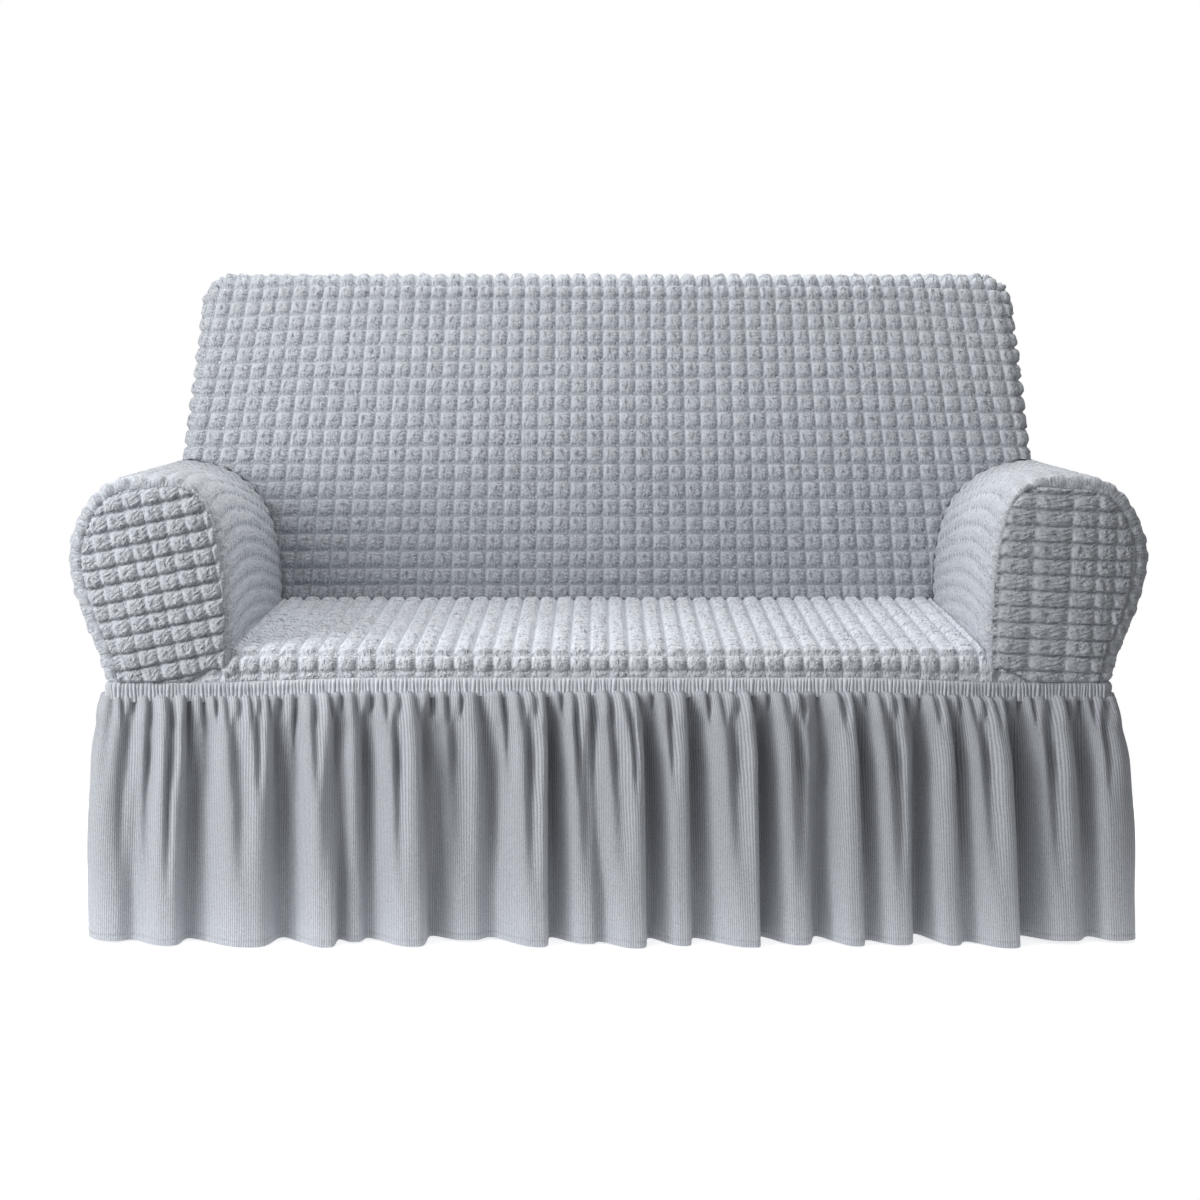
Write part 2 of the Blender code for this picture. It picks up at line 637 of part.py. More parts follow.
def make_cover():
    """All the pieces of the cover."""
    make_inside_back()
    make_outside_back()
    make_seat()
    for side, sign in (("left", -1.0), ("right", 1.0)):
        make_arm_wrap(side, sign)
        make_arm_front(side, sign)
        make_side_heading(side, sign)
        make_side_skirt(side, sign, SIDE_WIDTHS[side])
    make_end_heading("heading_front", FRONT_CORNER, FRONT_Y)
    make_end_heading("heading_back", REAR_CORNER, REAR_Y)
    make_end_skirt("skirt_front", FRONT_CORNER, FRONT_Y, FRONT_WIDTH, FRONT_FOLDS)
    back_folds = uneven_folds(BACK_WIDTH, -end_reach(REAR_CORNER), end_reach(REAR_CORNER))
    make_end_skirt("skirt_back", REAR_CORNER, REAR_Y, BACK_WIDTH, back_folds)


for old in list(bpy.data.objects):
    bpy.data.objects.remove(old, do_unlink=True)
collection = bpy.data.collections.new("sofa_slipcover")
bpy.context.scene.collection.children.link(collection)
make_cover()
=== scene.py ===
"""Fitted slipcover of a two-seat sofa: bubble cloth, a shirred heading and a gathered skirt.

Metres, +Z up, the front faces -Y. Every piece is one sheet of cloth, computed as a grid of
points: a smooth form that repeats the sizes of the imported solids, and a relief that stands
out of it for the bubbles, ribs and gathers of the cloth.
"""

from dataclasses import dataclass, field
from enum import Enum
import logging
import math
from typing import Optional, Sequence, Union

import bpy
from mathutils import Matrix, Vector
import numpy as np


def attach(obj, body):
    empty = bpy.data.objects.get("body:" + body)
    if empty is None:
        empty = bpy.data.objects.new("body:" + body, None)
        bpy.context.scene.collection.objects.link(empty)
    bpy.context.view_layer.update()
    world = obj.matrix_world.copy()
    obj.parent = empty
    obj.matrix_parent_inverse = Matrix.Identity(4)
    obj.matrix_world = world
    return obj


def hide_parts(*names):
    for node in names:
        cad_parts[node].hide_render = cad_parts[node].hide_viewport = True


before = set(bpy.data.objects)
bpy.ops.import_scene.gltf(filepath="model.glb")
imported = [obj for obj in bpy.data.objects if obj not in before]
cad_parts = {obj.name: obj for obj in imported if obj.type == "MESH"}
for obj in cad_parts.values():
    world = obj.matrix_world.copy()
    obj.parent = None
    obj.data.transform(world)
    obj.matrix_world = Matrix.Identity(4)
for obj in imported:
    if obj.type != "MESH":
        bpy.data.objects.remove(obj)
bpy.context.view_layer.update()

BODY = "root"
LOG = logging.getLogger("slipcover")
Array = np.ndarray
Numbers = Union[float, np.ndarray]


# ---- numbers that grow and fall smoothly ---------------------------------------------------

def blend(low: Numbers, high: Numbers, share: Numbers) -> Numbers:
    """Value that runs from low to high as share runs from 0 to 1."""
    return low + (high - low) * share


def smooth(share: Numbers) -> Numbers:
    """Share, held between 0 and 1, eased at both ends: 3 s squared less 2 s cubed."""
    share = np.clip(share, 0.0, 1.0)
    return share * share * (3.0 - 2.0 * share)


def bell(distance: Numbers, width: float) -> Numbers:
    """Bell curve, 1 at no distance: e to the power of minus distance over width, squared."""
    return np.exp(-(distance / width) ** 2)


def through(points: Sequence[Sequence[float]], steps: int) -> Array:
    """Smooth curve through points, each stretch a Catmull-Rom cubic cut into equal steps.

    Args:
        points: the points the curve passes.
        steps: how many steps lie between two of them.

    Returns:
        The curve's points, one row each.
    """
    known = np.asarray(points, float)
    padded = np.vstack([2 * known[0] - known[1], known, 2 * known[-1] - known[-2]])
    curve = []
    for before, start, end, after in zip(padded[:-3], padded[1:-2], padded[2:-1], padded[3:]):
        for share in np.arange(steps) / steps:
            curve.append(0.5 * (2 * start + (end - before) * share
                                + (2 * before - 5 * start + 4 * end - after) * share ** 2
                                + (3 * start - before - 3 * end + after) * share ** 3))
    curve.append(known[-1])
    return np.array(curve)


def eased_profile(stops: Array, values: Array, along: Array, plump: float = 1.0) -> Array:
    """Height between stops that alternate ridge and valley, eased from each to the next.

    The eased share s of the way up from the lower stop is taken as 1 - (1 - s)^plump, so that a
    larger plump leaves broad ridges and narrow valleys.

    Args:
        stops: rising places.
        values: the height at each stop.
        along: where the height is wanted.
        plump: how much broader than the valleys the ridges are.

    Returns:
        Heights, of along's shape.
    """
    number = np.clip(np.searchsorted(stops, along, side="right") - 1, 0, len(stops) - 2)
    share = smooth((along - stops[number]) / (stops[number + 1] - stops[number]))
    start, end = values[number], values[number + 1]
    rise = 1.0 - (1.0 - np.where(end > start, share, 1.0 - share)) ** plump
    return blend(np.minimum(start, end), np.maximum(start, end), rise)


# ---- shader maths --------------------------------------------------------------------------

class Signal:
    """A shader socket that takes part in Python expressions on numbers."""

    def __init__(self, shader: "Shader", socket: bpy.types.NodeSocket) -> None:
        """Wraps socket, whose nodes belong to shader."""
        self.shader = shader
        self.socket = socket

    def __add__(self, other: "Value") -> "Signal":
        """Sum."""
        return self.shader.math("ADD", self, other)

    __radd__ = __add__

    def __sub__(self, other: "Value") -> "Signal":
        """Difference."""
        return self.shader.math("SUBTRACT", self, other)

    def __rsub__(self, other: "Value") -> "Signal":
        """Difference, from a number."""
        return self.shader.math("SUBTRACT", other, self)

    def __mul__(self, other: "Value") -> "Signal":
        """Product."""
        return self.shader.math("MULTIPLY", self, other)

    __rmul__ = __mul__

    def __truediv__(self, other: "Value") -> "Signal":
        """Quotient."""
        return self.shader.math("DIVIDE", self, other)

    def __abs__(self) -> "Signal":
        """Size without sign."""
        return self.shader.math("ABSOLUTE", self)

    def wave(self) -> "Signal":
        """Sine."""
        return self.shader.math("SINE", self)

    def part(self) -> "Signal":
        """What is left of it past the whole number below."""
        return self.shader.math("FRACT", self)

    def whole(self) -> "Signal":
        """The whole number below."""
        return self.shader.math("FLOOR", self)

    def at_least(self, other: "Value") -> "Signal":
        """The larger of the two."""
        return self.shader.math("MAXIMUM", self, other)

    def bell(self, width: float) -> "Signal":
        """Bell curve, 1 at 0: e to the power of minus the square of it over width."""
        share = self / width
        return self.shader.math("EXPONENT", share * share * -1.0)

    def ramp(self, low: float, high: float) -> "Signal":
        """Eased rise from 0 at low to 1 at high."""
        return self.shader.node("ShaderNodeMapRange", {"interpolation_type": "SMOOTHSTEP"},
                                {"Value": self, "From Min": low, "From Max": high})


Value = Union[Signal, float]


class Shader:
    """A material's nodes, made by one method and joined by expressions."""

    def __init__(self, name: str) -> None:
        """Starts a material with its Principled shader.

        Args:
            name: the material's name.
        """
        self.material = bpy.data.materials.new(name)
        self.material.use_nodes = True
        self.nodes = self.material.node_tree.nodes
        self.links = self.material.node_tree.links
        self.surface = self.nodes["Principled BSDF"]

    def put(self, socket: bpy.types.NodeSocket, value: object) -> None:
        """Links a signal to a socket, or sets the socket's own number or colour."""
        if isinstance(value, Signal):
            self.links.new(value.socket, socket)
        else:
            socket.default_value = value

    def node(self, kind: str, settings: dict[str, object], sockets: dict[object, object],
             output: object = 0) -> Signal:
        """Any node.

        Args:
            kind: Blender's name of the node's type.
            settings: what is set before its sockets.
            sockets: values or signals by socket name or number.
            output: the output wanted, by name or number.

        Returns:
            That output as a signal.
        """
        made = self.nodes.new(kind)
        for name, setting in settings.items():
            setattr(made, name, setting)
        for name, value in sockets.items():
            self.put(made.inputs[name], value)
        return Signal(self, made.outputs[output])

    def math(self, operation: str, *values: Value) -> Signal:
        """A Math node on one or two values."""
        return self.node("ShaderNodeMath", {"operation": operation}, dict(enumerate(values)))

    def mixed(self, share: Value, low: Sequence[float], high: Sequence[float]) -> Signal:
        """Colour between low and high."""
        return self.node("ShaderNodeMix", {"data_type": "RGBA"},
                         {0: share, 6: low, 7: high}, output=2)

    def bump(self, height: Signal) -> Signal:
        """Normals of a height in metres."""
        return self.node("ShaderNodeBump", {}, {"Strength": 1.0, "Distance": 1.0, "Height": height})

    def noise(self, place: Signal, scale: float, detail: float, rough: float = 0.6,
              output: str = "Fac") -> Signal:
        """Cloudy noise about 0.5."""
        return self.node("ShaderNodeTexNoise", {}, {"Vector": place, "Scale": scale,
                                                    "Detail": detail, "Roughness": rough}, output)

    def parts(self, vector: Signal) -> tuple[Signal, Signal, Signal]:
        """The three numbers of a vector or colour."""
        kind = "ShaderNodeSeparateXYZ"
        return tuple(self.node(kind, {}, {0: vector}, output=number) for number in range(3))

    def finished(self, sockets: dict[str, object]) -> bpy.types.Material:
        """The material, with values or signals put on its Principled shader's sockets."""
        for name, value in sockets.items():
            self.put(self.surface.inputs[name], value)
        return self.material


# ---- finishes ------------------------------------------------------------------------------

@dataclass(frozen=True)
class BubbleFinish:
    """Crinkled stretch cloth of square bubbles between flat gathered channels.

    On each bubble lie a slit, a crease across it and, from its lower and right edges, puckers.
    Depths and grain are in metres, tones are shares of the way from dark to light, and places,
    widths and lengths are shares of a bubble. crossed is 1 where the channels above and below a
    bubble are as marked as those beside it, and 0 where there are none. A skew slants the level
    puckers and lets them start further left.
    """

    name: str = "bubble_cloth_finish"
    light: tuple[float, ...] = (0.690, 0.723, 0.774, 1.0)
    dark: tuple[float, ...] = (0.330, 0.352, 0.392, 1.0)
    tone: float = 0.92
    channel_tone: float = 0.36
    # Painted shade: the colour is painted lighter above a set height and darker below it, by this
    # much a metre
    painted_shade_slope: float = 0.0
    painted_shade_level: float = 0.7
    blotch: float = 0.2
    blotch_scale: float = 9.0
    grit: float = 1.4
    grit_scale: float = 480.0
    roughness: float = 0.92
    sheen: float = 0.25
    specular: float = 0.2
    crossed: float = 1.0
    skew: float = 0.0
    wander: float = 0.30
    wander_scale: float = 3.1
    channel_from: float = 0.38
    channel_to: float = 0.47
    pucker_count: float = 4.5
    pucker_depth: float = 0.0007
    slit_depth: float = 0.0024
    slit_width: float = 0.07
    slit_length: float = 0.20
    crease_share: float = 0.6
    crease_width: float = 0.055
    crease_length: float = 0.24
    crumple_depth: float = 0.0030
    crumple_scale: tuple[float, float] = (4.2, 4.2)
    fuzz_depth: float = 0.00022
    edge_depth: float = 0.0005
    edge_tone: float = 0.20
    edge_end: float = 0.44
    rim_place: float = 0.90
    side_place: float = 0.10
    foot_place: float = 0.12
    # Wrinkle height that paints a full step of shade into the colour
    crease_shade_depth: float = 0.0032

    def make(self) -> bpy.types.Material:
        """Material that reads the cloth map, one unit a bubble.

        A bell is e to the power of minus the square of a distance over a width. The slit and
        the crease are products of two bells, across and along a seeded line in the bubble. The
        colour follows the same heights, because bump alone shades the folds too little. By the
        fade it is lighter above painted_shade_level and darker below it, as the back is in the photo's
        light.
        """
        shader = Shader(self.name)
        cloth = shader.node("ShaderNodeUVMap", {"uv_map": "cloth"}, {})
        place = shader.node("ShaderNodeTexCoord", {}, {}, output="Object")
        across, up, _ = shader.parts(cloth)
        _, _, level_above = shader.parts(place)
        cell = shader.node("ShaderNodeCombineXYZ", {}, {0: across.whole(), 1: up.whole()})
        chances = shader.node("ShaderNodeTexWhiteNoise", {"noise_dimensions": "2D"},
                              {"Vector": cell}, output="Color")
        first, second, third = shader.parts(chances)
        bend, sway, _ = shader.parts(shader.noise(cloth, self.wander_scale, 2.0, output="Color"))
        right = across.part() - 0.5 + (bend - 0.5) * self.wander
        over = up.part() - 0.5 + (sway - 0.5) * self.wander
        from_side = abs(across.part() - 0.5)
        from_foot = abs(up.part() - 0.5)
        channel = from_side.at_least(from_foot * self.crossed)
        channel = channel.ramp(self.channel_from, self.channel_to)
        beside = right - first * 0.30 + 0.20 + over * (second - 0.5) * 0.8
        slit = (beside.bell(self.slit_width) * (over - 0.06).bell(self.slit_length)
                * (0.25 + 0.75 * third))
        above = over - second * 0.5 + 0.25 + right * (third - 0.5) * 0.9
        crease = above.bell(self.crease_width) * right.bell(self.crease_length) * first
        folds = (slit + crease * self.crease_share) * self.slit_depth * -1.0
        turns = 2.0 * math.pi * self.pucker_count
        upright = ((across + bend * 0.5) * turns).wave() * (0.5 - up.part()).ramp(0.06, 0.32)
        level = (((up + across * self.skew + sway * 0.6) * turns).wave()
                 * (across.part() - 0.5).ramp(self.skew - 0.02, 0.30))
        puckers = (upright * (self.crossed * 0.6) + level) * self.pucker_depth
        scaled = shader.node("ShaderNodeCombineXYZ", {}, {0: across * self.crumple_scale[0],
                                                          1: up * self.crumple_scale[1]})
        crumple = abs(shader.noise(scaled, 1.0, 3.0, 0.7) - 0.5) * self.crumple_depth * -3.0
        # Painted highlight and shade: rim and side lighten each bubble's top and left edges and
        # foot darkens its lower edge, scaled by edge_tone in the colour; they also bump it a little
        on_width = (self.edge_end - from_side).ramp(0.0, 0.08)
        on_height = (self.edge_end - from_foot).ramp(0.0, 0.08)
        rim = (up.part() - self.rim_place + (sway - 0.5) * 0.1).bell(0.05) * on_width
        side = (across.part() - self.side_place + (bend - 0.5) * 0.1).bell(0.05) * on_height
        foot = (up.part() - self.foot_place).bell(0.06) * on_width
        edges = rim + side * 0.6 - foot
        wrinkles = puckers + (folds + crumple) * (1.0 - channel)
        fine = shader.noise(place, self.grit_scale, 2.0)
        height = wrinkles + edges * self.edge_depth + fine * self.fuzz_depth
        # worn is random blotches and grit, plus painted shade: the colour painted lighter above a
        # set height and darker below it
        worn = (shader.noise(place, self.blotch_scale, 2.0) - 0.5) * self.blotch
        worn = worn + (fine - 0.5) * self.grit + (level_above - self.painted_shade_level) * self.painted_shade_slope
        # Painted shade: the channels between the bubbles are painted darker, down to channel_tone
        flat = self.tone + worn - channel * (self.tone - self.channel_tone)
        # Painted shade: the wrinkles' heights darken the colour in the slits, creases, puckers and
        # crumples
        share = (wrinkles / self.crease_shade_depth + edges * self.edge_tone + flat).ramp(-0.1, 1.1)
        return shader.finished({
            "Base Color": shader.mixed(share, self.dark, self.light),
            "Normal": shader.bump(height), "Roughness": self.roughness,
            "Sheen Weight": self.sheen, "Specular IOR Level": self.specular})


@dataclass(frozen=True)
class KnitFinish:
    """Plain knit of fine upright wales, for the skirt and the shirred heading.

    wale is their pitch in metres, and hollow says how much lighter a fold's ridge is painted than
    its valley, as painted highlight and shade. fuzz is the height of the fine noise, as a multiple
    of the wales' own.
    """

    name: str
    light: tuple[float, ...]
    dark: tuple[float, ...]
    wale: float = 0.0033
    wale_depth: float = 0.00028
    wale_tone: float = 0.62
    fuzz: float = 3.0
    fuzz_tone: float = 1.3
    fuzz_scale: float = 340.0
    hollow: float = 0.4
    roughness: float = 0.9
    sheen: float = 0.2
    specular: float = 0.2

    def make(self) -> bpy.types.Material:
        """Material that reads the cloth map, in metres of knit, and how far up a fold it lies,
        which paints light and shade into its colour.

        The wales are sines of the place across, a little cut up by sines of the place up. The
        colour is lighter on them, and painted lighter on the folds' ridges than in the valleys, as
        painted highlight and shade.
        """
        shader = Shader(self.name)
        cloth = shader.node("ShaderNodeUVMap", {"uv_map": "cloth"}, {})
        place = shader.node("ShaderNodeTexCoord", {}, {}, output="Object")
        across, up, _ = shader.parts(cloth)
        turns = 2.0 * math.pi / self.wale
        wander = shader.noise(cloth, 18.0, 2.0)
        wales = ((across * turns + wander * 5.0).wave()
                 * (0.7 + 0.3 * (up * turns + wander * 9.0).wave()))
        fuzz = shader.noise(place, self.fuzz_scale, 2.0)
        height = (wales + fuzz * self.fuzz) * self.wale_depth
        # Painted highlight and shade: the ridge attribute lightens the folds' ridges and darkens
        # their valleys
        ridge = shader.node("ShaderNodeAttribute", {"attribute_name": "ridge"}, {}, output="Fac")
        share = (wales * self.wale_tone + (fuzz - 0.5) * self.fuzz_tone + ridge * self.hollow
                 + (0.5 - 0.5 * self.hollow)).ramp(-0.2, 1.2)
        return shader.finished({
            "Base Color": shader.mixed(share, self.dark, self.light),
            "Normal": shader.bump(height), "Roughness": self.roughness,
            "Sheen Weight": self.sheen, "Specular IOR Level": self.specular})


# ---- sheets of cloth -----------------------------------------------------------------------

class Hold(Enum):
    """How the real sheet is held."""

    STRETCHED = "stretched"
    GATHERED = "gathered"


@dataclass
class Grid:
    """A sheet's points on a grid of rows and columns, with its cloth map.

    places is rows x columns x 3, cloth is rows x columns x 2, keep, where given, says which of
    the (rows - 1) x (columns - 1) cells are cloth, and ridge, where given, is 1 on the folds'
    ridges and 0 in their valleys; it paints highlight and shade into the knit's colour.
    """

    places: Array
    cloth: Array
    keep: Optional[Array] = None
    ridge: Optional[Array] = None

    def normals(self) -> Array:
        """Unit normals: the cross product of the steps along the columns and along the rows."""
        across = np.gradient(self.places, axis=1)
        up = np.gradient(self.places, axis=0)
        normal = np.cross(across, up)
        return normal / np.maximum(np.linalg.norm(normal, axis=2, keepdims=True), 1e-12)

    def raised(self, relief: Array) -> "Grid":
        """The same grid moved along its normals by relief."""
        places = self.places + self.normals() * relief[..., None]
        return Grid(places, self.cloth, self.keep, self.ridge)

    def turned(self) -> "Grid":
        """The same grid with its columns in the other order, so that it faces the other way."""
        keep = None if self.keep is None else self.keep[:, ::-1]
        ridge = None if self.ridge is None else self.ridge[:, ::-1]
        return Grid(self.places[:, ::-1], self.cloth[:, ::-1], keep, ridge)


def held_cells(outside: Array) -> Array:
    """The grid's cells that have at least one of their four corners inside the cut."""
    return ~(outside[:-1, :-1] & outside[1:, :-1] & outside[:-1, 1:] & outside[1:, 1:])


def sewn_down(relief: Array, groove: Numbers, distance: Array, ease: float) -> Array:
    """Relief that falls to minus the groove's depth at a seam, eased over a distance from it."""
    return blend(-groove, relief, smooth(distance / ease))


def cloth_piece(name: str, grid: Grid, material: bpy.types.Material) -> bpy.types.Object:
    """Mesh object of a grid, one quad a kept cell, facing as the grid's normals do.

    Args:
        name: the piece's name.
        grid: its points.
        material: its finish.

    Returns:
        The object, at the origin, linked to the scene.
    """
    rows, columns = grid.places.shape[:2]
    number = np.arange(rows * columns).reshape(rows, columns)
    corners = np.stack([number[:-1, :-1], number[:-1, 1:], number[1:, 1:], number[1:, :-1]], -1)
    quads = corners[grid.keep] if grid.keep is not None else corners.reshape(-1, 4)
    used, quads = np.unique(quads, return_inverse=True)
    quads = quads.reshape(-1, 4)
    mesh = bpy.data.meshes.new(name)
    mesh.vertices.add(len(used))
    mesh.vertices.foreach_set("co", grid.places.reshape(-1, 3)[used].astype(np.float32).ravel())
    mesh.loops.add(quads.size)
    mesh.loops.foreach_set("vertex_index", quads.astype(np.int32).ravel())
    mesh.polygons.add(len(quads))
    mesh.polygons.foreach_set("loop_start", np.arange(0, quads.size, 4, dtype=np.int32))
    mesh.polygons.foreach_set("loop_total", np.full(len(quads), 4, dtype=np.int32))
    mesh.polygons.foreach_set("use_smooth", np.ones(len(quads), dtype=bool))
    cloth = grid.cloth.reshape(-1, 2)[used][quads.ravel()]
    uv = mesh.uv_layers.new(name="cloth")
    uv.data.foreach_set("uv", cloth.astype(np.float32).ravel())
    if grid.ridge is not None:
        ridge = mesh.attributes.new("ridge", "FLOAT", "POINT")
        ridge.data.foreach_set("value", grid.ridge.reshape(-1)[used].astype(np.float32))
    mesh.update(calc_edges=True)
    mesh.validate()
    mesh.materials.append(material)
    piece = bpy.data.objects.new(name, mesh)
    bpy.context.scene.collection.objects.link(piece)
    return piece


def dress(piece: bpy.types.Object, node: str) -> None:
    """Says what a piece stands for, rides on and is cut from.

    Args:
        piece: the sheet.
        node: the solid it replaces.
    """
    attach(piece, BODY)
    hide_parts(node)
    LOG.info("%s: %d faces, stands for %s", piece.name, len(piece.data.polygons), node)


# ---- the relief of bubble cloth ------------------------------------------------------------

@dataclass(frozen=True)
class BubbleRelief:
    """Heights of crinkled square bubbles, in bubble units across and up.

    A bubble is a rounded square dome that sags to its lower edge, pitted by seeded creases,
    dents and tilts.
    """

    seed: int
    height: float = 0.0078
    sink: float = 0.0036
    channel: float = 0.13
    sag: float = 0.25
    pits: float = 0.75
    slot_chance: float = 0.35
    crease_count: int = 3
    side_share: float = 1.0

    def __call__(self, across: Array, up: Array) -> Array:
        """Relief above the sheet's form.

        The dome is (1 - r^3)^0.6, where r, 1 at most, is the fourth root of the sum of the
        fourth powers of the distances from the bubble's middle over its half widths;
        side_share says how deep the channels beside it are, next to those above and below.
        Each crease takes away a bell of the distance from a seeded line, cut off along it by
        another bell.

        Args:
            across: place across, one unit a bubble.
            up: place up, one unit a bubble.

        Returns:
            Heights in metres.
        """
        column = np.floor(across).astype(int)
        row = np.floor(up).astype(int)
        first_column, first_row = column.min(), row.min()
        draws = np.random.default_rng(self.seed).uniform(
            -1.0, 1.0, (row.max() - first_row + 1, column.max() - first_column + 1, 24))
        draw = np.moveaxis(draws[row - first_row, column - first_column], -1, 0)
        right = across - column - 0.5
        over = up - row - 0.5
        half = 0.5 - 0.5 * self.channel
        share_right = np.abs(right + 0.012 * draw[0]) / (half * (1.0 + 0.05 * draw[1]))
        share_over = np.abs(over + 0.012 * draw[2]) / (half * (1.0 + 0.05 * draw[3]))
        reach = np.minimum((share_right ** 4 + share_over ** 4) ** 0.25, 1.0)
        dome = (1.0 - reach ** 3.0) ** 0.6
        ridge = (1.0 - np.minimum(share_over, 1.0) ** 3.0) ** 0.6
        dome = blend(ridge, dome, self.side_share)
        tilt = 1.0 + 0.35 * draw[4] * right + (0.35 * draw[5] - self.sag) * over
        creases = np.zeros_like(dome)
        for number in range(self.crease_count):
            angle, shift, depth, slide = draw[6 + 4 * number:10 + 4 * number]
            cos, sin = np.cos(math.pi * angle), np.sin(math.pi * angle)
            beside = right * cos + over * sin - 0.20 * shift
            along = over * cos - right * sin - 0.18 * slide
            creases += (0.10 + 0.16 * (depth + 1.0)) * bell(beside, 0.065) * bell(along, 0.24)
        slot = np.where(draw[18] < 2.0 * self.slot_chance - 1.0, 0.45 + 0.2 * draw[19], 0.0)
        beside = right - 0.08 * draw[20] + 0.25 * draw[21] * over
        creases += slot * bell(beside, 0.085) * bell(over, 0.22)
        creases = np.minimum(self.pits * creases, 0.75)
        shape = dome * tilt * (1.0 + 0.12 * draw[22]) * (1.0 - creases)
        return self.height * shape - self.sink


class Lines:
    """Where the grid's lines lie within a bubble, closer where its sides are steep."""

    COARSE = np.array([0.0, 0.14, 0.36, 0.64, 0.86])
    MIDDLE = np.array([0.0, 0.09, 0.18, 0.36, 0.54, 0.72, 0.90])
    FINE = np.array([0.0, 0.08, 0.13, 0.24, 0.41, 0.58, 0.75, 0.86, 0.92])
    DENSE = np.array([0.0, 0.06, 0.095, 0.14, 0.21, 0.30, 0.39, 0.48, 0.57, 0.66, 0.75, 0.83,
                      0.89, 0.94])

    @staticmethod
    def between(first: float, last: float, lines: Array) -> Array:
        """All lines of the bubbles from first to last, both ends included."""
        cells = np.arange(math.floor(first), math.ceil(last) + 1)
        places = (cells[:, None] + lines[None, :]).ravel()
        inner = places[(places > first + 0.02) & (places < last - 0.02)]
        return np.concatenate([[first], inner, [last]])


# ---- forms that repeat the solids' sizes ---------------------------------------------------

BASE_HALF_WIDTH = 0.7105
FRONT_Y = -0.426
REAR_Y = 0.425
REAR_CORNER = 0.020
HEADING_TOP = 0.3665
HEADING_HEIGHT = 0.0205
HEADING_LIFT = 0.0065
HEADING_RECESS = 0.0006
LIFT_FROM = 0.5335
LIFT_TO = 0.360
SECTION_STEPS = 2


def under_seat(across: Array) -> Array:
    """1 under the seat, 0 at the arms."""
    return np.clip((LIFT_FROM - np.abs(across)) / (LIFT_FROM - LIFT_TO), 0.0, 1.0)


@dataclass(frozen=True)
class ArmSection:
    """The right arm's section at the front and at the rear: across and up, tuck to heading.

    A station is a point's number in a section. shoulder is the station at the roll's outer top.
    """

    rear_y: float = 0.17
    shoulder: int = 14
    rim_inside: float = 0.006
    rim_outside: float = 0.018
    front: Array = field(default_factory=lambda: through([
        (0.5340, 0.3700), (0.5340, 0.4400), (0.5380, 0.5200), (0.5470, 0.5850),
        (0.5660, 0.6320), (0.6000, 0.6560), (0.6450, 0.6600), (0.6900, 0.6550),
        (0.7240, 0.6320), (0.7475, 0.5920), (0.7585, 0.5400), (0.7430, 0.4680),
        (0.7180, 0.4040), (0.7105, 0.3668)], SECTION_STEPS))
    rear: Array = field(default_factory=lambda: through([
        (0.5300, 0.3700), (0.5300, 0.4400), (0.5370, 0.5050), (0.5530, 0.5630),
        (0.5850, 0.6060), (0.6250, 0.6320), (0.6630, 0.6420), (0.7000, 0.6450),
        (0.7290, 0.6280), (0.7490, 0.5880), (0.7585, 0.5380), (0.7430, 0.4680),
        (0.7180, 0.4040), (0.7105, 0.3668)], SECTION_STEPS))

    def numbers(self) -> Array:
        """The stations' numbers."""
        return np.arange(len(self.front), dtype=float)

    def point(self, station: Array, depth: Numbers) -> tuple[Array, Array]:
        """Across and up at station numbers and depths, from the front section to the rear."""
        share = np.clip((depth - FRONT_Y) / (self.rear_y - FRONT_Y), 0.0, 1.0)
        numbers = self.numbers()
        across = blend(np.interp(station, numbers, self.front[:, 0]),
                       np.interp(station, numbers, self.rear[:, 0]), share)
        up = blend(np.interp(station, numbers, self.front[:, 1]),
                   np.interp(station, numbers, self.rear[:, 1]), share)
        return across, up

    def inward(self, station: Array) -> tuple[Array, Array]:
        """Across and up of the front section's normals, into the arm, and level at its ends."""
        along = np.gradient(self.front, axis=0)
        along /= np.linalg.norm(along, axis=1, keepdims=True)
        numbers = self.numbers()
        at_end = (station < 1.0) | (station > len(self.front) - 2.0)
        return (np.interp(station, numbers, along[:, 1]),
                np.where(at_end, 0.0, np.interp(station, numbers, -along[:, 0])))

    def lengths(self) -> Array:
        """Length along the front section from the tuck to each station."""
        steps = np.linalg.norm(np.diff(self.front, axis=0), axis=1)
        return np.concatenate([[0.0], np.cumsum(steps)])

    def curl(self, station: Array) -> Array:
        """Radius of the arm's front edge, larger over the roll and the outer side."""
        share = station / (len(self.front) - 1)
        return blend(self.rim_inside, self.rim_outside, smooth((share - 0.30) / 0.18))


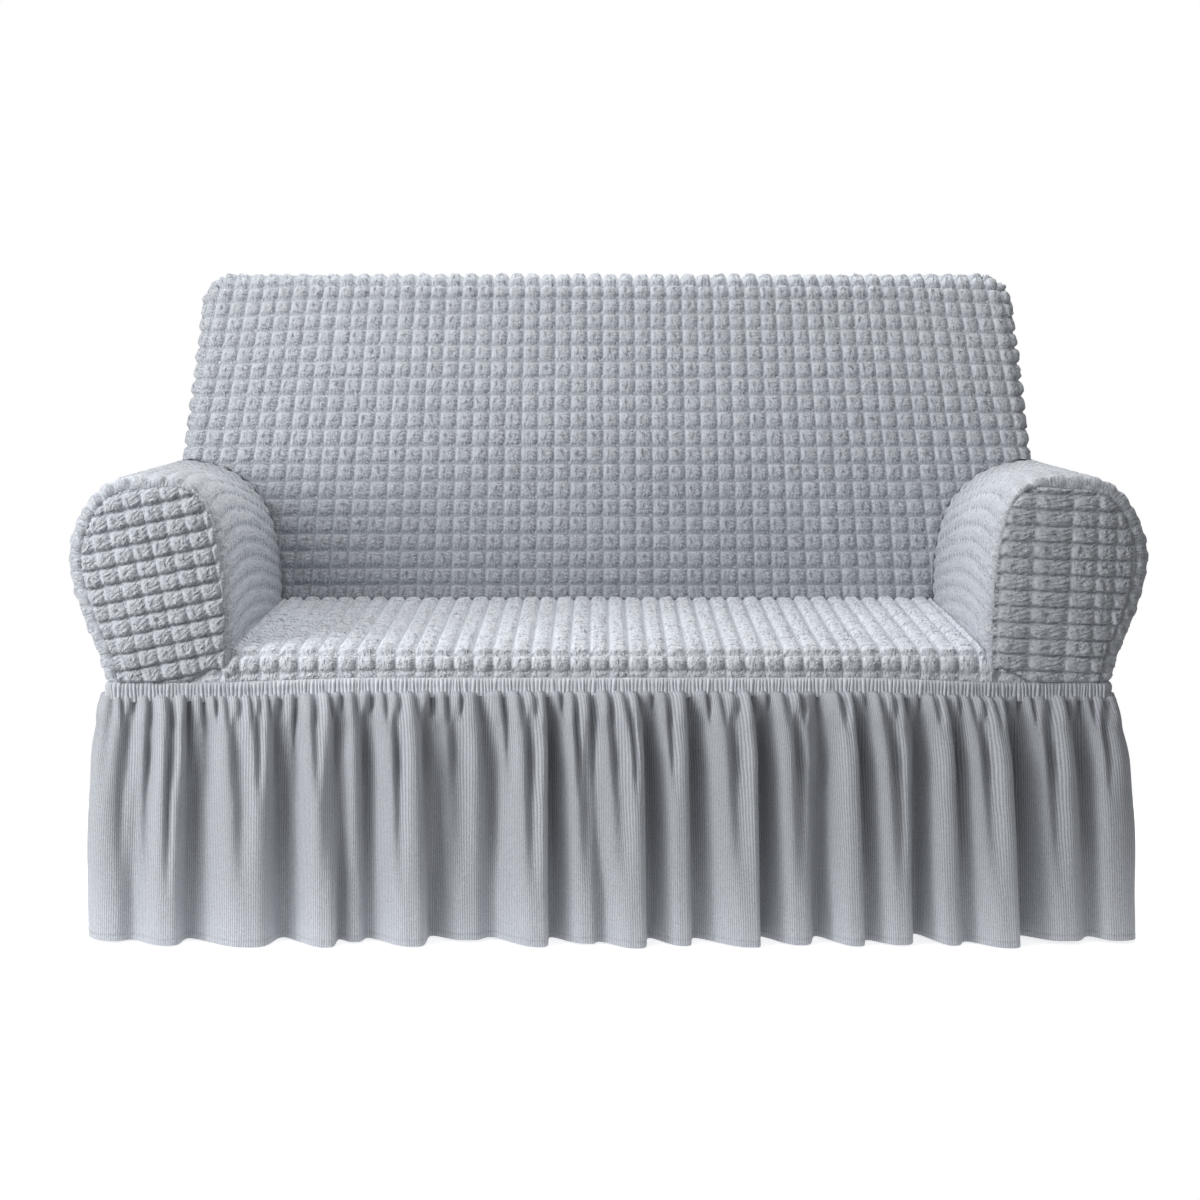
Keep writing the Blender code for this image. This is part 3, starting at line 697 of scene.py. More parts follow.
@dataclass(frozen=True)
class BackForm:
    """The back: a leaning face, an outline with round top corners and a rounded edge."""

    foot_y: float = 0.145
    foot_z: float = 0.420
    recline: float = 0.28
    top: float = 0.946
    shoulder_z: float = 0.645
    shoulder_half_width: float = 0.6997
    taper: float = 0.10
    corner: float = 0.052
    edge: float = 0.028
    free_height: float = 0.015

    @property
    def corner_z(self) -> float:
        """Height of the top corners' centres."""
        return self.top - self.corner

    @property
    def corner_x(self) -> float:
        """Distance of the top corners' centres from the middle."""
        return self.half_width(self.corner_z) - self.corner

    def half_width(self, up: Numbers) -> Numbers:
        """The outline's straight tapering side."""
        return self.shoulder_half_width - self.taper * (up - self.shoulder_z)

    def face_y(self, up: Array) -> Array:
        """The inner face, leaning back."""
        return self.foot_y + self.recline * (up - self.foot_z)

    def margin(self, across: Array, up: Array) -> tuple[Array, Array, Array]:
        """Distance in from the outline, less than 0 outside it, and the way out: across, up."""
        beside = self.half_width(np.minimum(up, self.corner_z)) - np.abs(across)
        below = self.top - up
        run = np.abs(across) - self.corner_x
        rise = up - self.corner_z
        in_corner = (run > 0.0) & (rise > 0.0)
        distance = np.hypot(run, rise)
        out_run = np.where(in_corner, run / np.maximum(distance, 1e-9), beside < below)
        out_rise = np.where(in_corner, rise / np.maximum(distance, 1e-9), beside >= below)
        inset = np.where(in_corner, self.corner - distance, np.minimum(beside, below))
        return inset, out_run * np.sign(across), out_rise

    def wrapped(self, across: Array, up: Array) -> Array:
        """Points of a flat sheet laid on the face, bent round its edge and straight back.

        From one edge radius in from the outline the sheet turns back along a quarter round;
        what is left past that runs straight back from the outline. Below the shoulders, between
        the arms, it stays on the face.

        Args:
            across: flat place across.
            up: flat place up.

        Returns:
            The points, with a last axis of x, y and z.
        """
        inset, out_across, out_up = self.margin(across, up)
        held = smooth((up - self.shoulder_z) / self.free_height + 1.0)
        turn = np.clip((self.edge - inset) / self.edge, 0.0, math.pi / 2)
        turned = self.edge * (1.0 - np.cos(turn)) * held
        inner = self.edge * (1.0 - np.sin(turn))
        beyond = np.maximum((self.edge - inset) - self.edge * math.pi / 2, 0.0)
        move = np.where(inset < self.edge, inset - inner, 0.0) * held
        x = across + out_across * move
        z = up + out_up * move
        y = self.face_y(z) + turned + beyond
        return np.stack([x, y, z], axis=-1)


ARM = ArmSection()
BACK = BackForm()


# ---- back ----------------------------------------------------------------------------------

@dataclass
class Back:
    """The inner face with the strip over its top, and the rear wrapped round the sides.

    Columns and rows count bubbles. Past the rear's top edge the inner face's last bubbles turn
    down over a length of lap, and the sheet is cut off at lap_cut.
    """

    finish: bpy.types.Material
    relief: BubbleRelief = BubbleRelief(seed=101, height=0.0070)
    rear_relief: BubbleRelief = BubbleRelief(seed=103)
    half_columns: float = 27.6
    rows_on_face: float = 20.9
    rows_fine_to: float = 1.5
    rows_over_top: float = 7.2
    rear_pitch: float = 0.0272
    rear_half_width: float = 0.7585
    wing: float = 0.150
    droop: float = 0.007
    top_swell: float = 0.95
    swell_band: float = 0.03
    lap: float = 0.014
    lap_cut: float = 0.030
    seam_ease: float = 0.008

    def row_height(self, row: Array) -> Array:
        """Flat height of the row channels, numbered down from just under the top edge.

        A cubic in the number: the rows are 24 mm apart at the top, 28 mm about the middle and
        25 mm at the foot; above row 0 they are 23.6 mm apart.
        """
        down = np.maximum(row, 0.0)
        curve = 0.93365 - 0.0235737 * down - 0.000414 * down ** 2 + 0.0000122 * down ** 3
        return curve - 0.0236 * np.minimum(row, 0.0)

    def column_place(self, column: Array, up: Array) -> Array:
        """Flat place across of the column channels, which fan out downwards.

        Args:
            column: its number from the middle.
            up: flat height.

        Returns:
            Pitch times number and a share of the number's cube, both of them linear between
            four heights, less a shift to the left.
        """
        heights = [0.430, 0.549, 0.672, 0.928]
        pitch = np.interp(up, heights, [0.0274, 0.0271, 0.0269, 0.02605])
        spread = np.interp(up, heights, [2.3e-6, 1.9e-6, 0.66e-6, -0.92e-6])
        return pitch * column + spread * column ** 3 - 0.0075

    def make_inside(self) -> None:
        """Inner face between the arms and above them, and the strip over the top."""
        columns = Lines.between(-self.half_columns, self.half_columns, Lines.FINE)
        face_rows = Lines.between(-self.rows_on_face, self.rows_fine_to, Lines.FINE)
        top_rows = Lines.between(self.rows_fine_to, self.rows_over_top, Lines.COARSE)
        rows = -np.concatenate([face_rows[:-1], top_rows])
        column, row = np.meshgrid(columns, rows)
        flat_up = self.row_height(row)
        corner = smooth((np.abs(column) - 17.0) / 9.0) * smooth((flat_up - 0.62) / 0.3)
        flat_up = flat_up - self.droop * corner
        flat_across = self.column_place(column, flat_up)
        quarter = BACK.edge * (math.pi / 2 - 1.0)
        side = BACK.half_width(np.clip(flat_up, BACK.shoulder_z, BACK.corner_z)) + quarter
        ups = ARM.rear[:ARM.shoulder + 1, 1]
        beside_arm = np.interp(flat_up, ups, ARM.rear[:ARM.shoulder + 1, 0])
        limit = np.where(flat_up < BACK.shoulder_z, beside_arm - 0.001, side)
        # Above the corners' centres the limit follows the round corner to its middle
        rise = np.clip(flat_up - BACK.corner_z, 0.0, None)
        reach = BACK.corner + quarter
        middle = math.sqrt(0.5)
        on_round = BACK.corner_x + np.sqrt(np.maximum(reach ** 2 - rise ** 2, 0.0))
        on_seam = BACK.corner_x + BACK.corner * middle
        above = np.where(rise < reach * middle, on_round, on_seam)
        limit = np.where(flat_up > BACK.corner_z, above, limit)
        held = np.clip(flat_across, -limit, limit)
        outside = np.abs(flat_across) > limit
        places = BACK.wrapped(held, flat_up)
        # Its last bubbles lap over the rear's top edge and turn down behind it
        rear = REAR_Y - REAR_CORNER
        keep = held_cells(outside) & (places[1:, 1:, 1] < rear + self.lap_cut)
        past = np.clip(places[..., 1] - rear, 0.0, self.lap)
        places[..., 1] = np.minimum(places[..., 1], rear + 0.6 * past)
        places[..., 2] -= 0.5 * np.maximum(past - 0.004, 0.0) * (flat_up > BACK.shoulder_z)
        grid = Grid(places, np.stack([column, -row], -1), keep)
        relief = self.relief(column, -row)
        # The bubbles stand higher along the top edge, where the cloth turns over
        relief = relief * (1.0 + self.top_swell * bell(flat_up - BACK.top, self.swell_band))
        relief = sewn_down(relief, self.relief.sink, limit - np.abs(held), self.seam_ease)
        piece = cloth_piece("inside_back_cloth", grid.raised(relief), self.finish)
        dress(piece, "inside_back")

    def make_outside(self) -> None:
        """Rear of the back and arms, its two wings round the back's sides."""
        pitch = self.rear_pitch
        last_column = (self.rear_half_width + self.wing) / pitch
        columns = Lines.between(-last_column, last_column, Lines.COARSE)
        rows = Lines.between(0.0, (BACK.top - HEADING_TOP) / pitch, Lines.COARSE)
        column, row = np.meshgrid(columns, rows)
        up = HEADING_TOP + 0.0005 + row * pitch
        beside_arm = ARM.rear[:ARM.shoulder:-1]
        outline = np.interp(up, beside_arm[:, 1], beside_arm[:, 0])
        rise = np.clip(up - BACK.corner_z, 0.0, BACK.corner)
        on_round = BACK.corner_x + np.sqrt(BACK.corner ** 2 - rise ** 2)
        above = np.where(up > BACK.corner_z, on_round, BACK.half_width(up))
        outline = np.where(up > BACK.shoulder_z, above, outline)
        flat = column * pitch
        turn_start = outline - REAR_CORNER
        turn = np.clip((np.abs(flat) - turn_start) / REAR_CORNER, 0.0, math.pi / 2)
        past = np.abs(flat) - turn_start - REAR_CORNER * math.pi / 2
        front = BACK.face_y(up) + BACK.edge
        seam_run = np.clip(REAR_Y - REAR_CORNER - front, 0.0, None)
        seam_run = np.where(up > BACK.shoulder_z, seam_run, 0.0)
        keep = held_cells(past > seam_run)
        past = np.clip(past, 0.0, seam_run)
        x = np.sign(flat) * (np.minimum(np.abs(flat), turn_start) + REAR_CORNER * np.sin(turn))
        y = REAR_Y - REAR_CORNER * (1.0 - np.cos(turn)) - past
        top_turn = np.clip((up - (BACK.top - REAR_CORNER)) / REAR_CORNER, 0.0, 1.0)
        y = y - REAR_CORNER * (1.0 - np.sqrt(1.0 - top_turn ** 2)) * (turn < 0.3)
        grid = Grid(np.stack([x, y, up], axis=-1), np.stack([column, row], -1), keep)
        to_seam = np.where(up > BACK.shoulder_z, seam_run - past, self.seam_ease)
        edge = np.minimum(np.minimum(up - HEADING_TOP, BACK.top - up), to_seam)
        relief = sewn_down(self.rear_relief(column, row), self.rear_relief.sink, edge,
                           self.seam_ease)
        piece = cloth_piece("outside_back_cloth", grid.turned().raised(relief[:, ::-1]),
                            self.finish)
        dress(piece, "outside_back")


# ---- seat ----------------------------------------------------------------------------------

@dataclass
class Seat:
    """The seat's top, its rounded front edge and the drop to the heading.

    tongue is how far the squashed cloth runs out under each facing, and length the run of the
    whole sheet from the heading back.
    """

    finish: bpy.types.Material
    relief: BubbleRelief = BubbleRelief(seed=211, height=0.0068)
    half_width_front: float = 0.534
    half_width_rear: float = 0.530
    front_y: float = -0.420
    front_top: float = 0.415
    rear_top: float = 0.425
    depth: float = 0.56
    edge: float = 0.030
    tongue: float = 0.062
    tongue_height: float = 0.030
    column_pitch: float = 0.0274
    row_pitch: float = 0.0270
    half_columns: float = 22.0
    first_row: float = -0.35
    length: float = 0.598
    seam_ease: float = 0.007

    def profile(self, run: Array) -> tuple[Array, Array]:
        """Depth and height at a length back from the heading: drop, quarter round, top."""
        heading = HEADING_TOP + HEADING_LIFT
        drop = self.front_top - self.edge - heading
        quarter = self.edge * math.pi / 2
        turn = np.clip((run - drop) / self.edge, 0.0, math.pi / 2)
        level = np.maximum(run - drop - quarter, 0.0)
        y = self.front_y + self.edge * (1.0 - np.cos(turn)) + level
        slope = (self.rear_top - self.front_top) / self.depth
        z = heading + np.clip(run, 0.0, drop) + self.edge * np.sin(turn) + slope * level
        y = y - 0.001 * smooth(1.0 - run / 0.01)
        return y, z

    def make(self) -> None:
        """One width of cloth from the heading to the back's foot."""
        columns = Lines.between(-self.half_columns, self.half_columns, Lines.FINE)
        last_row = self.length / self.row_pitch + self.first_row
        rows = Lines.between(self.first_row, last_row, Lines.FINE)
        column, row = np.meshgrid(columns, rows)
        run = (row - self.first_row) * self.row_pitch
        y, z = self.profile(run)
        half = blend(self.half_width_front, self.half_width_rear,
                     np.clip((y - FRONT_Y) / 0.6, 0.0, 1.0)) - 0.001
        # A squashed tongue of the seat's cloth runs out along the heading under each facing
        tongue = self.tongue * np.clip(1.0 - run / self.tongue_height, 0.0, 1.0)
        y = y - 0.004 * smooth(tongue / 0.02) * smooth((np.abs(column) - 18.5) / 1.0)
        half = half + tongue
        across = column * self.column_pitch
        held = np.clip(across, -half, half)
        # Its lower edge is lower beside the arms, as the heading's top is
        lower = HEADING_LIFT * (1.0 - under_seat(held)) * smooth(1.0 - run / self.tongue_height)
        grid = Grid(np.stack([held, y, z - lower], axis=-1), np.stack([column, row], -1),
                    held_cells(np.abs(across) > half))
        near = np.minimum(run, (half - np.abs(held)) * 1.5)
        relief = sewn_down(self.relief(column, row), self.relief.sink, near, self.seam_ease)
        piece = cloth_piece("seat_cloth", grid.raised(relief), self.finish)
        dress(piece, "seat")


# ---- arms ----------------------------------------------------------------------------------

class Side(Enum):
    """Which arm or side, seen from the front."""

    LEFT = -1.0
    RIGHT = 1.0

    @property
    def word(self) -> str:
        """The word that names the side's pieces."""
        return self.name.lower()


@dataclass(frozen=True)
class FacingCut:
    """How the bubbles lie on a facing: their turn, row pitch and column channels from -6 to 6."""

    turn: float
    row_pitch: float
    columns: tuple[float, ...]


LEFT_CUT = FacingCut(12.0, 0.0246, tuple(0.0268 * number for number in range(-6, 7)))
RIGHT_CUT = FacingCut(-2.0, 0.0228, (-0.262, -0.217, -0.172, -0.127, -0.082, -0.037, 0.015,
                                     0.052, 0.078, 0.104, 0.126, 0.148, 0.170))


@dataclass
class Arm:
    """One arm: the cloth over it and the facing let into its front.

    The ribs of the stretched cloth run back in a bow: from the rim they climb the inner face by
    a share of a bubble as far back as ribs_level_at, and fall again behind it. middle is the
    facing's middle, across and up.
    """

    finish: bpy.types.Material
    wrap_finish: bpy.types.Material
    side: Side
    seed: int
    pitch_along: float = 0.0270
    pitch_round: float = 0.0262
    length: float = 0.92
    seam_ease: float = 0.007
    rib_height: float = 0.0040
    rib_middle: float = 0.6
    climb: float = 0.6
    ribs_level_at: float = 0.22
    bow: float = 14.0
    crown: float = 0.007
    crown_width: float = 0.07
    inner_lift: float = 0.022
    middle: tuple[float, float] = (0.630, 0.520)
    facing_ease: float = 0.006

    def make_wrap(self) -> None:
        """Inner face, roll and outer side, its front edge curled round to the facing."""
        relief_of = BubbleRelief(seed=self.seed)
        lengths = ARM.lengths()
        rounds = Lines.between(0.0, lengths[-1] / self.pitch_round, Lines.MIDDLE)
        alongs = Lines.between(0.0, self.length / self.pitch_along, Lines.MIDDLE)
        column, row = np.meshgrid(rounds, alongs)
        station = np.interp(column * self.pitch_round, lengths, ARM.numbers())
        run = row * self.pitch_along
        radius = ARM.curl(station)
        turn = np.clip(run / radius, 0.0, math.pi / 2)
        inset = radius * (1.0 - np.sin(turn))
        y = FRONT_Y + radius * (1.0 - np.cos(turn)) + np.maximum(run - radius * math.pi / 2, 0.0)
        behind = BACK.face_y(ARM.point(station, ARM.rear_y)[1])
        behind = behind + blend(0.008, 0.032, smooth((station - ARM.shoulder + 4.0) / 3.0))
        last = np.where(station >= ARM.shoulder, REAR_Y - REAR_CORNER, behind)
        outside = y > last + 0.0005
        y = np.minimum(y, last)
        across, up = ARM.point(station, y)
        in_across, in_up = ARM.inward(station)
        x = self.side.value * (across + inset * in_across)
        places = np.stack([x, y, up + inset * in_up], axis=-1)
        relief = relief_of(column, row)
        # Stretched along the arm, the cloth of the rim, the roll and the inner face shows low
        # ribs and hardly a cross channel
        outer = smooth((station - ARM.shoulder - 2.0) / 3.0) * smooth((run - 0.018) / 0.014)
        past = np.clip(run - self.ribs_level_at, 0.0, None)
        rise = self.climb * (1.0 - smooth(run / self.ribs_level_at)) + self.bow * past ** 2
        bowed = column + rise * (1.0 - outer)
        rib = np.abs(np.sin(math.pi * bowed))
        uneven = relief_of(bowed + 0.5, row * 0.37) / relief_of.height
        ribs = self.rib_height * (rib - self.rib_middle + 0.3 * uneven) - 0.0005
        inner = smooth((9.0 - station) / 3.0)
        crumpled = blend(ribs, relief * 0.8, 0.5 * inner * smooth((0.070 - run) / 0.04))
        relief = blend(crumpled, relief, outer)
        foot = np.minimum(column * self.pitch_round, (lengths[-1] - column * self.pitch_round))
        near = np.minimum(run, np.minimum(foot, last - y + 0.004))
        # The facing's seam lies in a groove, but hardly so on the inner side
        relief = sewn_down(relief, relief_of.sink * (1.25 - inner), near, self.seam_ease)
        grid = Grid(places, np.stack([-bowed, row], -1), held_cells(outside))
        if self.side is Side.LEFT:
            grid, relief = grid.turned(), relief[:, ::-1]
        piece = cloth_piece(f"arm_wrap_{self.side.word}_cloth", grid.raised(relief),
                            self.wrap_finish)
        dress(piece, f"arm_wrap_{self.side.word}")

    def make_front(self) -> None:
        """Facing: a little crowned, its bubbles on a turned grid cut off by the arm's outline."""
        relief_of = BubbleRelief(seed=self.seed + 1, height=0.0082, sag=0.7, pits=0.4,
                                 side_share=0.5)
        sign = self.side.value
        numbers = ARM.numbers()
        across, up = ARM.point(numbers, FRONT_Y)
        in_across, in_up = ARM.inward(numbers)
        inset = ARM.curl(numbers) + 0.0004
        edge_across = across + inset * in_across
        edge_up = up + inset * in_up
        # The foot: level along the heading, lifted at its inner end over the seat's corner
        foot = np.linspace(edge_across[0], edge_across[-1], 24)[1:-1]
        edge_across = np.append(edge_across, foot)
        edge_up = np.append(edge_up, np.full_like(foot, HEADING_TOP))
        lift = self.inner_lift * smooth((0.605 - edge_across) / 0.055)
        edge_up = np.maximum(edge_up, HEADING_TOP + 0.0003 + lift)
        middle_across, middle_up = self.middle
        bearing = np.arctan2(edge_up - middle_up, edge_across - middle_across)
        order = np.argsort(bearing)
        bearing = bearing[order]
        reach = np.hypot(edge_across - middle_across, edge_up - middle_up)[order]
        cut = LEFT_CUT if self.side is Side.LEFT else RIGHT_CUT
        angle = math.radians(cut.turn)
        columns = Lines.between(-6.0, 6.0, Lines.DENSE)
        rows = Lines.between(-8.5, 8.5, Lines.DENSE)
        column, row = np.meshgrid(columns, rows)
        beside = np.interp(column, np.arange(-6, 7), cut.columns)
        above = row * cut.row_pitch
        flat_across = beside * math.cos(angle) - above * math.sin(angle)
        flat_up = beside * math.sin(angle) + above * math.cos(angle)
        distance = np.hypot(flat_across, flat_up)
        limit = np.interp(np.arctan2(flat_up, sign * flat_across), bearing, reach,
                          period=2.0 * math.pi)
        held = np.minimum(distance, limit) / np.maximum(distance, 1e-9)
        x = sign * middle_across + flat_across * held
        z = middle_up + flat_up * held
        to_edge = limit - np.minimum(distance, limit)
        crown = self.crown * np.sin(np.clip(to_edge / self.crown_width, 0.0, 1.0) * math.pi / 2)
        inner = smooth((0.575 - np.abs(x)) / 0.025)
        relief = sewn_down(relief_of(column, row), relief_of.sink * (1.0 - inner), to_edge,
                           self.facing_ease)
        grid = Grid(np.stack([x, FRONT_Y - crown, z], axis=-1), np.stack([column, row], -1),
                    held_cells(distance > limit))
        piece = cloth_piece(f"arm_front_{self.side.word}_cloth", grid.raised(relief), self.finish)
        dress(piece, f"arm_front_{self.side.word}")


# ---- heading and skirt ---------------------------------------------------------------------

@dataclass(frozen=True)
class EndLine:
    """The front or back line of the base: straight, with a quarter round at each end."""

    end_y: float
    corner: float

    @property
    def reach(self) -> float:
        """Half the line's length, corners included."""
        return BASE_HALF_WIDTH - self.corner + self.corner * math.pi / 2

    def at(self, along: Array) -> tuple[Array, Array, Array, Array]:
        """Point (x, y) and outward normal (x, y) at lengths from the middle."""
        half = BASE_HALF_WIDTH - self.corner
        turn = np.clip((np.abs(along) - half) / self.corner, 0.0, math.pi / 2)
        facing = math.copysign(1.0, self.end_y)
        x = np.clip(along, -half, half) + np.sign(along) * self.corner * np.sin(turn)
        y = self.end_y - facing * self.corner * (1.0 - np.cos(turn))
        return x, y, np.sign(along) * np.sin(turn), facing * np.cos(turn)


@dataclass(frozen=True)
class SideLine:
    """The base's line along one side, lapping a little over the round of both corners."""

    side: Side
    start: float = FRONT_Y + 0.0155
    end: float = REAR_Y - 0.0175

    @property
    def reach(self) -> float:
        """Half the line's length."""
        return 0.5 * (self.end - self.start)

    def at(self, along: Array) -> tuple[Array, Array, Array, Array]:
        """Point (x, y) and outward normal (x, y) at lengths from the middle."""
        x = self.side.value * BASE_HALF_WIDTH + 0.0 * along
        y = 0.5 * (self.start + self.end) + along
        return x, y, np.sign(x), 0.0 * along


Line = Union[EndLine, SideLine]
FRONT_LINE = EndLine(FRONT_Y, 0.018)
BACK_LINE = EndLine(REAR_Y, REAR_CORNER)


def seat_share(along: Array, front: bool) -> Array:
    """1 under the seat and 0 at the arms on the front line, and 0 on the others."""
    return under_seat(along) if front else np.zeros_like(along)


def heading_levels(along: Array, front: bool) -> tuple[Array, Array]:
    """Top and bottom of the heading, which sits a little higher under the seat."""
    top = HEADING_TOP + HEADING_LIFT * seat_share(along, front)
    return top, top - HEADING_HEIGHT


@dataclass
class Heading:
    """Narrow band of knit shirred on elastic: uneven upright ribs, held in at two stitch rows.

    levels are the grid's rows, 0 at the band's bottom and 1 at its top; the ones outside are
    tucked behind the skirt and the bubble cloth. stitches gives each row's level and how much
    it flattens the ribs. arm_tone and seat_tone scale the painted highlight on the ribs beside the
    arms and under the seat, where it is painted lighter against the shade of the seat's edge.
    """

    finish: bpy.types.Material
    rib: float = 0.0052
    depth: float = 0.0034
    steps_per_rib: int = 6
    levels: tuple[float, ...] = (-0.22, 0.0, 0.12, 0.26, 0.38, 0.5, 0.62, 0.74, 0.88, 1.0, 1.08)
    stitches: tuple[tuple[float, float], ...] = ((0.42, 0.35), (0.85, 0.30))
    stitch_width: float = 0.06
    set_back: float = 0.0016
    tuck_slope: float = 0.05
    lean: float = 0.0014
    raggedness: float = 0.0012
    fullness: float = 1.25
    map_fullness: float = 1.6
    arm_tone: float = 0.65
    seat_tone: float = 2.2

    def make(self, node: str, line: Line, front: bool, flip: bool) -> None:
        """One heading along a line of the base.

        Args:
            node: the solid it replaces.
            line: the base's line it follows.
            front: whether it is the front one, which rises under the seat.
            flip: whether the grid is turned, so that it faces out.
        """
        ribs = int(2.0 * line.reach / self.rib)
        draws = np.random.default_rng(len(node) * 7).uniform(0.7, 1.3, (2, ribs + 1))
        edges = np.concatenate([[0.0], np.cumsum(draws[0])])
        edges = edges / edges[-1]
        share = np.linspace(0.0, 1.0, ribs * self.steps_per_rib + 1)
        number = np.clip(np.searchsorted(edges, share, side="right") - 1, 0, ribs)
        within = (share - edges[number]) / (edges[number + 1] - edges[number])
        height = np.sin(np.clip(within, 0.0, 1.0) * math.pi) ** 0.6 * draws[1][number]
        rib, level = np.meshgrid(height, np.array(self.levels))
        along = np.broadcast_to((2.0 * share - 1.0) * line.reach, rib.shape)
        x, y, out_x, out_y = line.at(along)
        top, bottom = heading_levels(along, front)
        in_seat = seat_share(along, front)
        stitched = 1.0
        for place, held in self.stitches:
            stitched = stitched - held * bell(level - place, self.stitch_width)
        # The ribs flatten towards the top edge, which slopes in behind the bubble cloth
        flattened = 0.25 + 0.75 * smooth((1.03 - level) / 0.2)
        behind = (self.set_back + HEADING_RECESS * in_seat
                  + self.tuck_slope * np.clip(level - 1.0, 0.0, None))
        stand = self.depth * rib * stitched * flattened - behind
        lean = self.lean * np.sin(along * 190.0) * (level - 0.5)
        ragged = np.sin(along * 410.0) * np.sin(along * 97.0) * (1.0 - level)
        places = np.stack([x + stand * out_x + lean * np.abs(out_y), y + stand * out_y,
                           blend(bottom, top, level) + self.raggedness * ragged], axis=-1)
        cloth = np.stack([along * self.map_fullness, level * HEADING_HEIGHT], -1)
        # Painted highlight: the ribs' height lightens the colour, painted lighter under the seat
        # against its shade
        grid = Grid(places, cloth, ridge=rib * blend(self.arm_tone, self.seat_tone, in_seat))
        piece = cloth_piece(f"{node}_cloth", grid.turned() if flip else grid, self.finish)
        dress(piece, node)


class Reach(Enum):
    """Down which stretch of the drop a row of folds shows: grows from, to, fades from, to."""

    GATHERS = (-0.03, 0.02, 0.04, 0.15)
    PLEATS = (0.02, 0.12, 0.18, 0.45)
    FLUTES = (0.08, 0.28, 0.42, 0.85)

    def share(self, drop: Array) -> Array:
        """How strongly the folds show at a drop, from 0 to 1."""
        grow_from, grow_to, fade_from, fade_to = self.value
        grown = smooth((drop - grow_from) / (grow_to - grow_from))
        return grown * smooth((fade_to - drop) / (fade_to - fade_from))


@dataclass(frozen=True)
class FoldRow:
    """Round ridges with narrow valleys between them, along one stretch of the drop."""

    stretch: Reach
    depth: float
    ridges: tuple[float, ...]


